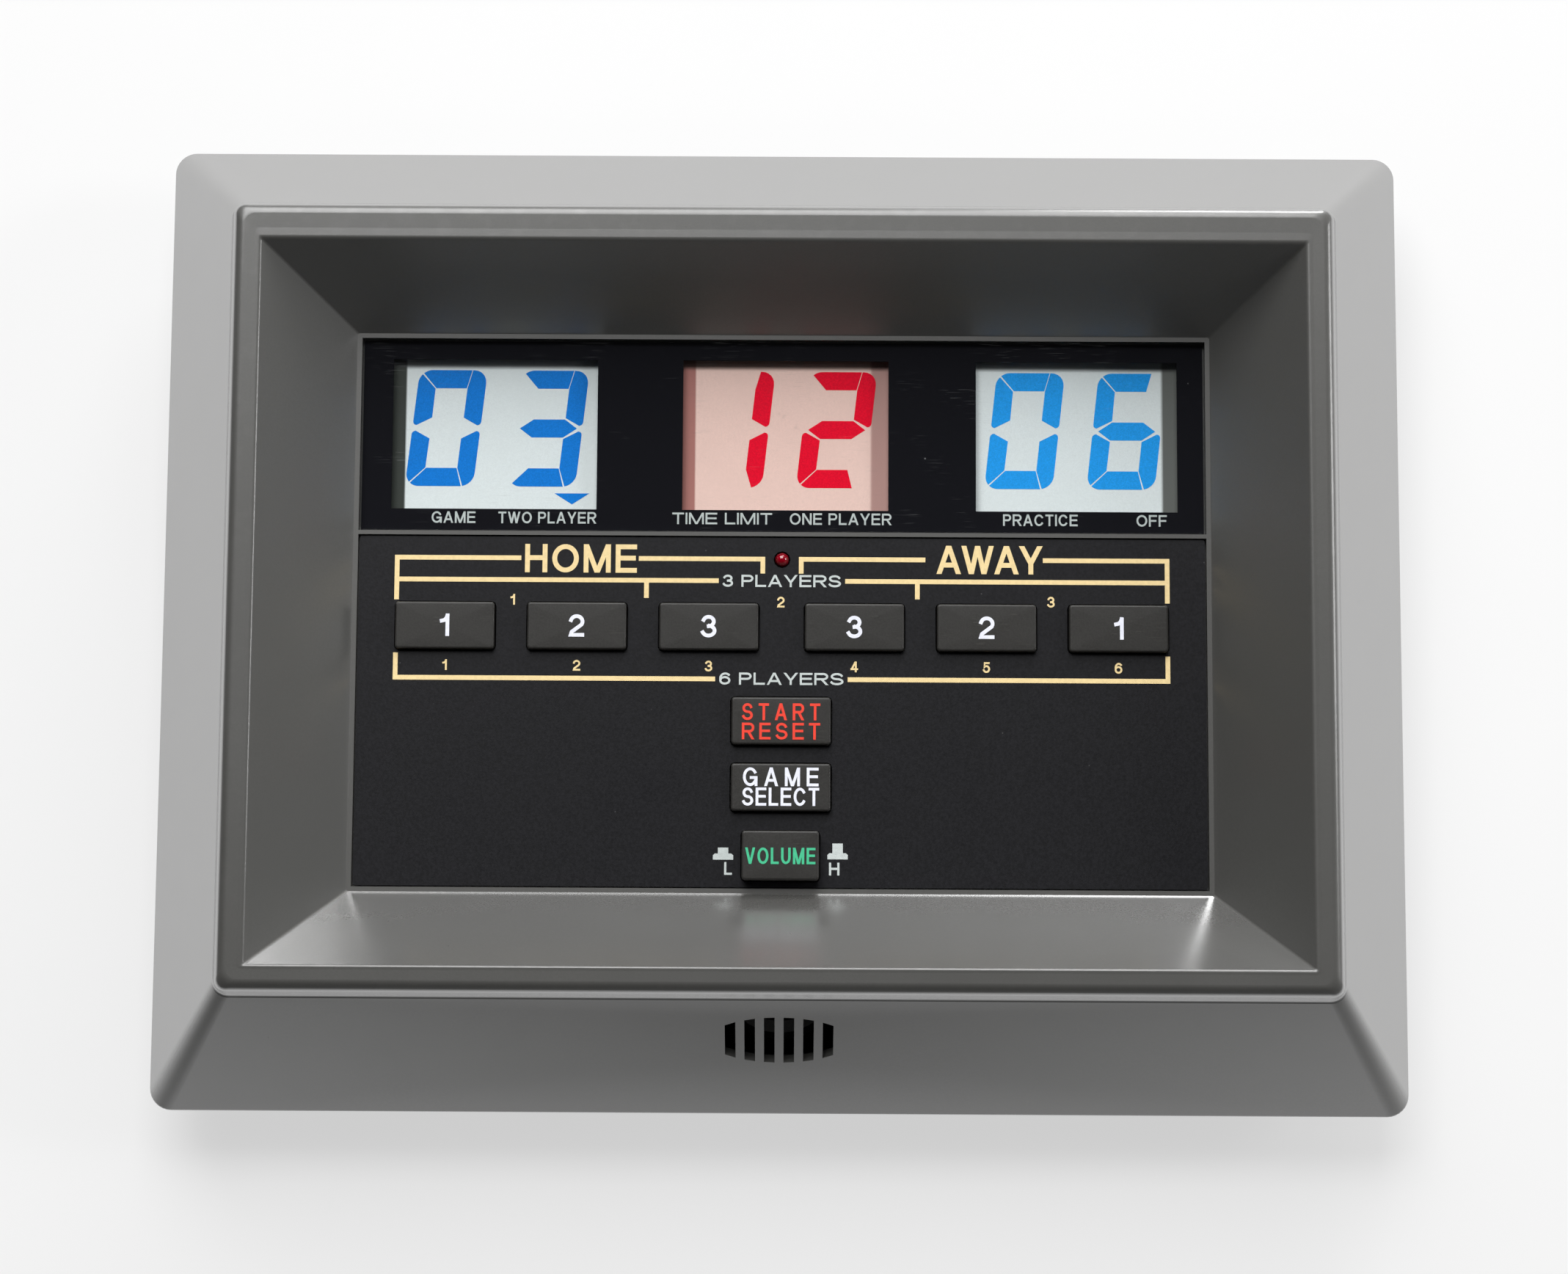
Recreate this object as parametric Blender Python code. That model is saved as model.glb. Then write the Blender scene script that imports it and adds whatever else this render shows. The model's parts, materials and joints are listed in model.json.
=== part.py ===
"""Electronic scoreboard, built piece by piece.

A battery-powered desk or wall scoreboard lying on its back: a sloped plastic housing
with a raised rim round a sunken face, three liquid-crystal displays behind one window,
nine push buttons, a speaker behind slots in the lower slope, and a sliding battery door
in the back. Units are metres. +X runs to the right of the face, +Y to its top and +Z
out of it. The origin is under the middle of the housing, on the surface it lies on.
"""

import math

import bmesh
import bpy
from mathutils import Vector

MM = 0.001

# The face: the level area at the bottom of the sunken funnel.
PANEL_WIDTH = 183.2 * MM
CONTROL_HEIGHT = 75.2 * MM
DIVIDER_WIDTH = 0.9 * MM
LEDGE_WIDTH = 1.0 * MM
LEDGE_STEP = 0.4 * MM
PANEL_CORNER = 0.8 * MM
PLATE_CORNER = 0.5 * MM

# Horizontal runs of the housing's section, outwards from the face, on each side.
FUNNEL_RUN_SIDE = 17.8 * MM
FUNNEL_RUN_TOP = 15.4 * MM
FUNNEL_RUN_BOTTOM = 16.0 * MM
RIM_TOP_SIDE = 3.3 * MM
RIM_TOP_TOP = 5.5 * MM
RIM_TOP_BOTTOM = 2.5 * MM
RIM_SIDE_RUN_SIDE = 3.5 * MM
RIM_SIDE_RUN_TOP = 3.0 * MM
RIM_SIDE_RUN_BOTTOM = 3.9 * MM
SLOPE_RUN_SIDE = 16.8 * MM
SLOPE_RUN_TOP = 17.3 * MM
SLOPE_RUN_BOTTOM = 23.7 * MM

# Heights of the housing's section, measured on from the face.
FUNNEL_RISE = 23.0 * MM
FOOT_DROP = 4.0 * MM
SLOPE_DROP = 25.0 * MM
LIP_BAND = 1.5 * MM
RIM_RADIUS = 2.4 * MM
RIDGE_RADIUS = 0.8 * MM
RIM_HOLLOW = 0.25 * MM
FOOT_BLEND = 1.6 * MM
LIP_ROUND = 0.8 * MM
RIM_CORNER = 2.0 * MM
FOOT_CORNER = 2.5 * MM
OUTLINE_CORNER = 3.8 * MM
INNER_CORNER = 1.0 * MM
WALL = 2.2 * MM
CORNER_STEPS = 4

# Gaps: GAP parts pieces that rest on each other, SLIDE_GAP parts those that slide.
GAP = 0.3 * MM
SLIDE_GAP = 0.3 * MM

# How far a cutter runs past what it cuts, and a joined shape into what it joins.
OVERSHOOT = 1.0 * MM
FUSE = 0.5 * MM

# A round end's radius as a share of its half width, so that its two arcs stay apart.
ROUND_END = 0.98

# Plates of the face.
FACE_PLATE = 1.2 * MM
MASK_THICKNESS = 0.3 * MM
FLOOR_THICKNESS = 1.9 * MM

# Displays.
APERTURE_WIDTH = 44.2 * MM
APERTURE_HEIGHT = 32.6 * MM
APERTURE_SIDE_MARGIN = 6.9 * MM
WINDOW_TOP_BAND = 4.2 * MM
CAPTION_STRIP = 5.0 * MM
APERTURE_MARGIN = 1.0 * MM
LCD_BORDER = 2.0 * MM
LCD_FOOT = 2.4 * MM
LCD_THICKNESS = 2.8 * MM
STRIP_WIDTH = 2.4 * MM
STRIP_END_MARGIN = 2.0 * MM
FRAME_BORDER = 1.6 * MM
FRAME_BAR = 3.2 * MM

# Push buttons and the switches under them.
BUTTON_WIDTH = 21.1 * MM
BUTTON_HEIGHT = 10.1 * MM
VOLUME_WIDTH = 16.3 * MM
VOLUME_HEIGHT = 10.4 * MM
SCORE_CENTRE_MARGIN = 4.95 * MM
SCORE_SIDE_MARGIN = 9.35 * MM
SCORE_ROW_DROP = 19.6 * MM
VOLUME_ROW_RISE = 6.9 * MM
SELECT_ROW_RISE = 14.5 * MM
START_ROW_RISE = 14.1 * MM
BUTTON_PROUD = 1.6 * MM
VOLUME_PROUD = 3.4 * MM
BUTTON_TRAVEL = 1.2 * MM
VOLUME_TRAVEL = 2.4 * MM
BUTTON_CORNER = 0.7 * MM
BUTTON_EDGE = 0.5 * MM
FLANGE_WIDTH = 1.2 * MM
FLANGE_THICKNESS = 1.2 * MM
STEM_RADIUS = 2.0 * MM
STEM_ENGAGEMENT = 0.7 * MM
SWITCH_SIZE = 7.2 * MM
VOLUME_SWITCH_SIZE = 8.5 * MM
SWITCH_FLOOR = 0.7 * MM

# Circuit board and what it carries.
BOARD_THICKNESS = 1.6 * MM
BOARD_SIDE_MARGIN = 3.6 * MM
BOARD_TOP_MARGIN = 4.4 * MM
BOARD_BELOW_CAPS = 2.0 * MM
TONGUE_END_MARGIN = 3.2 * MM
TONGUE_SCREW_MARGIN = 3.0 * MM
TONGUE_SCREW_CLEARANCE = 0.75 * MM
BOARD_SCREW_INSET = 8.0 * MM
BOARD_SCREW_DROP = 6.2 * MM
BOARD_BOSS_RADIUS = 2.7 * MM
BOARD_SHANK_RADIUS = 1.1 * MM
BOARD_SHANK_LENGTH = 6.4 * MM
BOARD_HEAD_RADIUS = 2.3 * MM
BOARD_HEAD_HEIGHT = 1.6 * MM
CHIP_SIZE = 14.0 * MM
CHIP_HEIGHT = 1.8 * MM
CHIP_CORNER = 0.8 * MM
CHIP_X = -48.0 * MM
CHIP_ABOVE_BUTTONS = 7.0 * MM
LED_RADIUS = 1.5 * MM
LED_FLANGE_RADIUS = 1.9 * MM
LED_FLANGE_HEIGHT = 1.0 * MM
LED_PROUD = 1.2 * MM
LED_ABOVE_BUTTONS = 14.6 * MM
LED_LEG_RADIUS = 0.35 * MM
LED_LEG_SPACING = 1.27 * MM

# Rear cover.
FOOT_PROUD = 1.0 * MM
COVER_WALL = 2.0 * MM
COVER_INSET = 3.0 * MM
PAN_INSET = 10.0 * MM
PAN_DRAFT = 2.0 * MM
PAN_EDGE = 1.5 * MM
PAN_FILLET = 1.0 * MM
TONGUE_RISE = 2.0 * MM
TONGUE_WALL = 1.6 * MM
RUBBER_FOOT_RADIUS = 5.0 * MM
RUBBER_FOOT_SINK = 0.5 * MM
RUBBER_FOOT_INSET = 14.0 * MM
KEYHOLE_X = 60.0 * MM
KEYHOLE_BELOW_EDGE = 24.0 * MM
KEYHOLE_RADIUS = 4.2 * MM
KEYHOLE_NECK_RADIUS = 2.0 * MM
KEYHOLE_LENGTH = 8.0 * MM

# Case screws, driven from the back into bosses under the funnel.
BOSS_SHARE_OF_FUNNEL = 0.58
BOSS_RADIUS = 3.2 * MM
CORNER_BOSS_OUTSIDE = 3.4 * MM
POST_RADIUS = 4.6 * MM
POST_BORE_RADIUS = 3.3 * MM
POST_HEIGHT = 10.0 * MM
POST_WEB = 2.0 * MM
CASE_HEAD_RADIUS = 2.7 * MM
CASE_HEAD_HEIGHT = 1.8 * MM
CASE_SHANK_RADIUS = 1.4 * MM
CASE_SHANK_LENGTH = 11.0 * MM
SCREW_SLOT_WIDTH = 0.8 * MM
SCREW_SLOT_DEPTH = 0.7 * MM

# Batteries and their bay in the rear cover.
CELL_COUNT = 3
CELL_RADIUS = 7.25 * MM
CELL_LENGTH = 49.5 * MM
CELL_NUB_RADIUS = 2.6 * MM
CELL_NUB_HEIGHT = 1.0 * MM
CELL_CHAMFER = 0.8 * MM
CELL_SPACING = 0.4 * MM
BAY_TONGUE_GAP = 1.8 * MM
BAY_WALL = 2.0 * MM
BAY_ROOF = 0.9 * MM
BAY_EDGE_MARGIN = 7.6 * MM
CONTACT_THICKNESS = 0.5 * MM
CONTACT_HEIGHT = 9.0 * MM
CONTACT_WIDTH = 9.0 * MM
CONTACT_DIMPLE = 0.4 * MM
SPRING_LENGTH = 3.4 * MM
SPRING_BASE_RADIUS = 3.6 * MM
SPRING_TIP_RADIUS = 2.2 * MM
SPRING_WIRE_RADIUS = 0.35 * MM
SPRING_TURNS = 3
SPRING_POINTS_PER_TURN = 10
SPRING_LEAST_GAP = 0.4 * MM
CONTACT_TAB_WIDTH = 3.0 * MM
CONTACT_TAB_OVERLAP = 1.5 * MM
DOOR_THICKNESS = 3.3 * MM
DOOR_TONGUE = 1.0 * MM
DOOR_TONGUE_THICKNESS = 1.0 * MM
DOOR_GRIP_WIDTH = 1.6 * MM
DOOR_GRIP_DEPTH = 0.6 * MM
DOOR_GRIP_COUNT = 5
DOOR_GRIP_LENGTH = 24.0 * MM

# Speaker on its ring in the rear cover, and the slots above it.
SPEAKER_RADIUS = 12.5 * MM
SPEAKER_RING_WALL = 1.4 * MM
SPEAKER_RING_TOP = 21.0 * MM
SPEAKER_RING_MARGIN = 15.4 * MM
SPEAKER_RIM = 1.5 * MM
SPEAKER_BASKET_DEPTH = 4.0 * MM
SPEAKER_SHEET = 0.8 * MM
SPEAKER_PAPER = 0.4 * MM
DUST_CAP_RADIUS = 4.0 * MM
DUST_CAP_HEIGHT = 1.4 * MM
MAGNET_RADIUS = 6.5 * MM
MAGNET_HEIGHT = 3.5 * MM
SLOT_COUNT = 6
SLOT_PITCH = 4.05 * MM
SLOT_WIDTH = 2.2 * MM
SLOT_FIELD_HALF_WIDTH = 13.9 * MM
SLOT_FIELD_HALF_LENGTH = 6.4 * MM
SLOT_FIELD_DOWN_SLOPE = 12.1 * MM

# Insulated leads.
LEAD_RADIUS = 0.7 * MM
LEAD_BEND = 1.5 * MM
LEAD_END_INSET = 1.5 * MM
LEAD_BOW = 1.2 * MM
SPEAKER_LEAD_X = 5.0 * MM
BATTERY_LEAD_END_X = 10.5 * MM

ROUND_SEGMENTS = 24
CELL_SEGMENTS = 20
SMALL_SEGMENTS = 12
LEG_SEGMENTS = 6

# Heights worked out from the back up: the cells lie under the face, so they set its height.
COVER_BOTTOM_Z = FOOT_PROUD
COVER_FLOOR_Z = COVER_BOTTOM_Z + COVER_WALL
DOOR_TOP_Z = COVER_BOTTOM_Z + DOOR_THICKNESS
CELL_Z = DOOR_TOP_Z + GAP + CELL_RADIUS
BAY_ROOF_Z = CELL_Z + CELL_RADIUS + GAP
BAY_TOP_Z = BAY_ROOF_Z + BAY_ROOF
FLOOR_BOTTOM_Z = BAY_TOP_Z + GAP
CONTROL_POCKET_Z = FLOOR_BOTTOM_Z + FLOOR_THICKNESS
WINDOW_POCKET_Z = CONTROL_POCKET_Z - MASK_THICKNESS - GAP
PANEL_Z = CONTROL_POCKET_Z + GAP + FACE_PLATE
LEDGE_Z = PANEL_Z + LEDGE_STEP
RIM_Z = PANEL_Z + FUNNEL_RISE
FOOT_Z = RIM_Z - FOOT_DROP
LIP_Z = FOOT_Z - SLOPE_DROP
LIP_BOTTOM_Z = LIP_Z - LIP_BAND
LCD_TOP_Z = FLOOR_BOTTOM_Z - GAP
LCD_BOTTOM_Z = LCD_TOP_Z - LCD_THICKNESS
FLANGE_TOP_Z = FLOOR_BOTTOM_Z - GAP
FLANGE_BOTTOM_Z = FLANGE_TOP_Z - FLANGE_THICKNESS
VOLUME_SWITCH_TOP_Z = FLANGE_BOTTOM_Z - VOLUME_TRAVEL - GAP
VOLUME_WELL_Z = VOLUME_SWITCH_TOP_Z - STEM_ENGAGEMENT - VOLUME_TRAVEL - GAP
BOARD_TOP_Z = VOLUME_WELL_Z - SWITCH_FLOOR - GAP
BOARD_BOTTOM_Z = BOARD_TOP_Z - BOARD_THICKNESS

WINDOW_HEIGHT = CAPTION_STRIP + APERTURE_HEIGHT + WINDOW_TOP_BAND
PANEL_HEIGHT = WINDOW_HEIGHT + CONTROL_HEIGHT + DIVIDER_WIDTH + 2 * LEDGE_WIDTH
RUNS_SIDE = (FUNNEL_RUN_SIDE, RIM_TOP_SIDE, RIM_SIDE_RUN_SIDE, SLOPE_RUN_SIDE)
RUNS_TOP = (FUNNEL_RUN_TOP, RIM_TOP_TOP, RIM_SIDE_RUN_TOP, SLOPE_RUN_TOP)
RUNS_BOTTOM = (FUNNEL_RUN_BOTTOM, RIM_TOP_BOTTOM, RIM_SIDE_RUN_BOTTOM, SLOPE_RUN_BOTTOM)
HALF_WIDTH = PANEL_WIDTH / 2 + sum(RUNS_SIDE)
HALF_HEIGHT = (PANEL_HEIGHT + sum(RUNS_TOP) + sum(RUNS_BOTTOM)) / 2
PANEL_RIGHT = PANEL_WIDTH / 2
PANEL_TOP = HALF_HEIGHT - sum(RUNS_TOP)
PANEL_BOTTOM = sum(RUNS_BOTTOM) - HALF_HEIGHT

POCKET_RIGHT = PANEL_RIGHT - LEDGE_WIDTH
WINDOW_TOP = PANEL_TOP - LEDGE_WIDTH
WINDOW_BOTTOM = WINDOW_TOP - WINDOW_HEIGHT
CONTROL_TOP = WINDOW_BOTTOM - DIVIDER_WIDTH
CONTROL_BOTTOM = CONTROL_TOP - CONTROL_HEIGHT
APERTURE_Y = WINDOW_BOTTOM + CAPTION_STRIP + APERTURE_HEIGHT / 2
APERTURE_PITCH = PANEL_RIGHT - APERTURE_SIDE_MARGIN - APERTURE_WIDTH / 2
LCD_WIDTH = APERTURE_WIDTH + 2 * (APERTURE_MARGIN + LCD_BORDER)
LCD_LOW_Y = APERTURE_Y - APERTURE_HEIGHT / 2 - APERTURE_MARGIN - LCD_FOOT
LCD_HIGH_Y = APERTURE_Y + APERTURE_HEIGHT / 2 + APERTURE_MARGIN + LCD_BORDER

SCORE_Y = CONTROL_TOP - SCORE_ROW_DROP
VOLUME_Y = CONTROL_BOTTOM + VOLUME_ROW_RISE
SELECT_Y = VOLUME_Y + SELECT_ROW_RISE
START_Y = SELECT_Y + START_ROW_RISE
LED_Y = SCORE_Y + LED_ABOVE_BUTTONS
SCORE_INNER_X = SCORE_CENTRE_MARGIN + BUTTON_WIDTH / 2
SCORE_OUTER_X = PANEL_RIGHT - SCORE_SIDE_MARGIN - BUTTON_WIDTH / 2
SCORE_XS = (SCORE_INNER_X, (SCORE_INNER_X + SCORE_OUTER_X) / 2, SCORE_OUTER_X)

BOARD_HALF_WIDTH = PANEL_RIGHT - BOARD_SIDE_MARGIN
BOARD_TOP_Y = PANEL_TOP - BOARD_TOP_MARGIN
BOARD_LOWER_Y = SCORE_Y - BUTTON_HEIGHT / 2 - FLANGE_WIDTH - BOARD_BELOW_CAPS
TONGUE_END_Y = VOLUME_Y - VOLUME_HEIGHT / 2 - TONGUE_END_MARGIN
TONGUE_SCREW_X = BUTTON_WIDTH / 2 + FLANGE_WIDTH + TONGUE_SCREW_CLEARANCE + BOARD_BOSS_RADIUS
TONGUE_HALF_WIDTH = TONGUE_SCREW_X + TONGUE_SCREW_MARGIN
BOARD_SCREWS = [
    (sign * (BOARD_HALF_WIDTH - BOARD_SCREW_INSET), CONTROL_TOP - BOARD_SCREW_DROP)
    for sign in (-1, 1)
] + [
    (sign * TONGUE_SCREW_X, (START_Y + SELECT_Y) / 2) for sign in (-1, 1)
]

PAN_HALF_WIDTH = HALF_WIDTH - PAN_INSET
PAN_HALF_HEIGHT = HALF_HEIGHT - PAN_INSET
PLATE_HALF_WIDTH = PAN_HALF_WIDTH - PAN_DRAFT
PLATE_HALF_HEIGHT = PAN_HALF_HEIGHT - PAN_DRAFT
COVER_FLANGE_TOP_Z = LIP_BOTTOM_Z - GAP
COVER_FLANGE_BOTTOM_Z = COVER_FLANGE_TOP_Z - COVER_WALL
POST_TOP_Z = COVER_BOTTOM_Z + POST_HEIGHT
POST_WEB_Z = POST_TOP_Z - POST_WEB

SPEAKER_Y = -PLATE_HALF_HEIGHT + COVER_WALL + SPEAKER_RING_MARGIN
SPEAKER_RIM_Z = SPEAKER_RING_TOP + GAP

BAY_LENGTH = (
    CELL_LENGTH + CELL_NUB_HEIGHT + SPRING_LENGTH + CONTACT_DIMPLE
    + 2 * (CONTACT_THICKNESS + 2 * GAP)
)
BAY_LEFT_X = TONGUE_HALF_WIDTH + BAY_TONGUE_GAP + BAY_WALL
BAY_RIGHT_X = BAY_LEFT_X + BAY_LENGTH
BAY_LOW_Y = -PLATE_HALF_HEIGHT + BAY_EDGE_MARGIN
CELL_STEP = 2 * CELL_RADIUS + CELL_SPACING
BAY_HIGH_Y = BAY_LOW_Y + CELL_COUNT * CELL_STEP + CELL_SPACING


def case_screw_places():
    """Centre of each case screw and the funnel run of the wall that its boss hangs from."""
    corner_x = PANEL_RIGHT + CORNER_BOSS_OUTSIDE
    side_x = PANEL_RIGHT + BOSS_SHARE_OF_FUNNEL * FUNNEL_RUN_SIDE
    top_y = PANEL_TOP + BOSS_SHARE_OF_FUNNEL * FUNNEL_RUN_TOP
    bottom_y = PANEL_BOTTOM - BOSS_SHARE_OF_FUNNEL * FUNNEL_RUN_BOTTOM
    places = []
    for sign in (-1, 1):
        places.append((sign * corner_x, top_y, FUNNEL_RUN_TOP))
        places.append((sign * side_x, SCORE_Y, FUNNEL_RUN_SIDE))
        places.append((sign * corner_x, bottom_y, FUNNEL_RUN_BOTTOM))
    return places


def wall_offset(run, rise):
    """Horizontal distance between the two faces of a wall leaning by run over rise."""
    return WALL * math.hypot(run, rise) / rise


def make_collection(name):
    collection = bpy.data.collections.new(name)
    bpy.context.scene.collection.children.link(collection)
    return collection


def make_material(name, color, roughness, metallic=0.0, alpha=1.0, coat=0.0):
    """Principled material with one plain finish."""
    material = bpy.data.materials.new(name)
    material.use_nodes = True
    shader = material.node_tree.nodes["Principled BSDF"]
    shader.inputs["Base Color"].default_value = (*color, 1.0)
    shader.inputs["Roughness"].default_value = roughness
    shader.inputs["Metallic"].default_value = metallic
    shader.inputs["Alpha"].default_value = alpha
    shader.inputs["Coat Weight"].default_value = coat
    material.diffuse_color = (*color, alpha)
    return material


def add_box(bm, low, high):
    """Add a closed box between two corners."""
    made = bmesh.ops.create_cube(bm, size=1.0)
    size = Vector(high) - Vector(low)
    bmesh.ops.scale(bm, vec=size, verts=made["verts"])
    bmesh.ops.translate(bm, vec=(Vector(low) + Vector(high)) / 2, verts=made["verts"])
    return made["verts"]


def add_cylinder(bm, x, y, z_low, z_high, radius, segments=ROUND_SEGMENTS, top_radius=None):
    """Add a closed upright cylinder, or a cone when the top radius differs."""
    made = bmesh.ops.create_cone(
        bm, cap_ends=True, segments=segments, radius1=radius,
        radius2=radius if top_radius is None else top_radius, depth=z_high - z_low,
    )
    bmesh.ops.translate(bm, vec=(x, y, (z_low + z_high) / 2), verts=made["verts"])
    return made["verts"]


def ring_points(x_low, x_high, y_low, y_high, z, radius, steps=CORNER_STEPS):
    """Corner points of a rectangle with rounded corners, anticlockwise from +X."""
    centres = (
        (x_high - radius, y_low + radius, -90),
        (x_high - radius, y_high - radius, 0),
        (x_low + radius, y_high - radius, 90),
        (x_low + radius, y_low + radius, 180),
    )
    points = []
    for x, y, start in centres:
        for step in range(steps + 1):
            angle = math.radians(start + 90 * step / steps)
            points.append((x + radius * math.cos(angle), y + radius * math.sin(angle), z))
    return points


def add_loft(bm, rings):
    """Add a closed body through rings of equal point counts, with flat ends."""
    levels = [[bm.verts.new(point) for point in ring] for ring in rings]
    faces = [bm.faces.new(levels[0]), bm.faces.new(levels[-1])]
    for lower, upper in zip(levels, levels[1:]):
        for i in range(len(lower)):
            j = (i + 1) % len(lower)
            faces.append(bm.faces.new((lower[i], lower[j], upper[j], upper[i])))
    bmesh.ops.recalc_face_normals(bm, faces=faces)


def add_prism(bm, x_low, x_high, y_low, y_high, z_low, z_high, radius, steps=CORNER_STEPS):
    """Add an upright prism on a rounded rectangle."""
    add_loft(bm, [
        ring_points(x_low, x_high, y_low, y_high, z, radius, steps) for z in (z_low, z_high)
    ])


class Builder:
    """Keeps the collections and materials, and turns meshes into named pieces."""

    def __init__(self):
        self.parts = make_collection("electronic_scoreboard")
        self.tools = make_collection("cutters")
        self.materials = {
            "housing": make_material("housing", (0.19, 0.19, 0.185), 0.42),
            "rear_housing": make_material("rear_housing", (0.06, 0.06, 0.062), 0.5),
            "clear_window": make_material("clear_window", (0.9, 0.92, 0.92), 0.05, alpha=0.15),
            "mask_black": make_material("mask_black", (0.008, 0.008, 0.01), 0.12, coat=0.5),
            "panel_charcoal": make_material("panel_charcoal", (0.016, 0.017, 0.019), 0.55),
            "lcd_pale": make_material("lcd_pale", (0.68, 0.74, 0.74), 0.25),
            "lcd_pink": make_material("lcd_pink", (0.74, 0.5, 0.45), 0.25),
            "frame_white": make_material("frame_white", (0.6, 0.6, 0.58), 0.5),
            "strip_grey": make_material("strip_grey", (0.1, 0.1, 0.11), 0.7),
            "board_green": make_material("board_green", (0.02, 0.11, 0.05), 0.45),
            "chip_black": make_material("chip_black", (0.015, 0.015, 0.016), 0.5),
            "button_grey": make_material("button_grey", (0.032, 0.031, 0.029), 0.4),
            "switch_black": make_material("switch_black", (0.02, 0.02, 0.02), 0.5),
            "led_red": make_material("led_red", (0.16, 0.0, 0.012), 0.12),
            "speaker_metal": make_material("speaker_metal", (0.5, 0.5, 0.5), 0.35, metallic=1.0),
            "speaker_cone": make_material("speaker_cone", (0.03, 0.03, 0.03), 0.8),
            "magnet_grey": make_material("magnet_grey", (0.2, 0.2, 0.21), 0.4, metallic=1.0),
            "cell_wrap": make_material("cell_wrap", (0.05, 0.12, 0.3), 0.3),
            "spring_metal": make_material("spring_metal", (0.6, 0.58, 0.54), 0.3, metallic=1.0),
            "screw_zinc": make_material("screw_zinc", (0.45, 0.45, 0.46), 0.35, metallic=1.0),
            "foot_rubber": make_material("foot_rubber", (0.015, 0.015, 0.015), 0.85),
            "lead_red": make_material("lead_red", (0.45, 0.02, 0.02), 0.5),
            "lead_black": make_material("lead_black", (0.015, 0.015, 0.015), 0.5),
        }

    def piece(self, name, bm, material, place=(0, 0, 0)):
        """Make a named piece from a mesh given relative to its place."""
        obj = self.store(name, bm, self.parts, place)
        obj.data.materials.append(self.materials[material])
        return obj

    def tool(self, name, bm):
        """Make a cutter, which no render or export shows."""
        obj = self.store(name, bm, self.tools, (0, 0, 0))
        obj.hide_render = True
        obj.display_type = "WIRE"
        return obj

    def tool_from_curve(self, name, curve):
        """Make a cutter from a curve, with its end caps welded on."""
        guide = bpy.data.objects.new(name, curve)
        self.tools.objects.link(guide)
        graph = bpy.context.evaluated_depsgraph_get()
        mesh = bpy.data.meshes.new_from_object(guide.evaluated_get(graph))
        bpy.data.objects.remove(guide)
        bm = bmesh.new()
        bm.from_mesh(mesh)
        bpy.data.meshes.remove(mesh)
        bmesh.ops.remove_doubles(bm, verts=bm.verts, dist=0.001 * MM)
        return self.tool(name, bm)

    def store(self, name, bm, collection, place):
        mesh = bpy.data.meshes.new(name)
        bm.to_mesh(mesh)
        bm.free()
        mesh.shade_smooth()
        mesh.set_sharp_from_angle(angle=math.radians(30))
        obj = bpy.data.objects.new(name, mesh)
        obj.location = place
        collection.objects.link(obj)
        return obj

    def combine(self, obj, tool, operation):
        """Cut a tool away from a piece, or join it on."""
        modifier = obj.modifiers.new(tool.name, "BOOLEAN")
        modifier.operation = operation
        modifier.object = tool
        modifier.solver = "EXACT"


def housing_ring(side, top, bottom, z, radius):
    """Ring of the housing at these distances outside the edge of the face."""
    return ring_points(
        -PANEL_RIGHT - side, PANEL_RIGHT + side, PANEL_BOTTOM - bottom, PANEL_TOP + top, z, radius
    )


def outer_section(runs):
    """Front of one side, outwards: (distance from the face, height, corner radius)."""
    funnel, rim_top, rim_side, slope = runs
    ridge_one = funnel + rim_top
    foot = ridge_one + rim_side
    outline = foot + slope
    rise = RIM_Z - LEDGE_Z
    ridge_share = RIDGE_RADIUS / math.hypot(funnel, rise)
    lip_share = LIP_ROUND / math.hypot(slope, SLOPE_DROP)
    points = [
        (0.0, LEDGE_Z, PANEL_CORNER),
        (funnel * (1 - ridge_share), RIM_Z - rise * ridge_share, PANEL_CORNER),
        (funnel, RIM_Z - 0.15 * RIDGE_RADIUS, PANEL_CORNER),
        (funnel + 0.7 * RIDGE_RADIUS, RIM_Z, PANEL_CORNER),
        (funnel + rim_top / 2, RIM_Z - RIM_HOLLOW, PANEL_CORNER),
    ]
    for degrees in (90, 65, 40, 15):
        angle = math.radians(degrees)
        points.append((
            ridge_one + RIM_RADIUS * math.cos(angle),
            RIM_Z - RIM_RADIUS * (1 - math.sin(angle)),
            RIM_CORNER,
        ))
    points.append((foot - 0.1 * FOOT_BLEND, FOOT_Z + 0.5 * FOOT_BLEND, FOOT_CORNER))
    points.append((foot + 0.25 * FOOT_BLEND, FOOT_Z - 0.1 * FOOT_BLEND, FOOT_CORNER))
    points.append((foot + slope * FOOT_BLEND / SLOPE_DROP, FOOT_Z - FOOT_BLEND, FOOT_CORNER))
    points.append((outline - slope * lip_share, LIP_Z + SLOPE_DROP * lip_share, OUTLINE_CORNER))
    points.append((outline, LIP_Z - LIP_ROUND / 2, OUTLINE_CORNER))
    points.append((outline, LIP_BOTTOM_Z, OUTLINE_CORNER))
    return points


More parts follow.
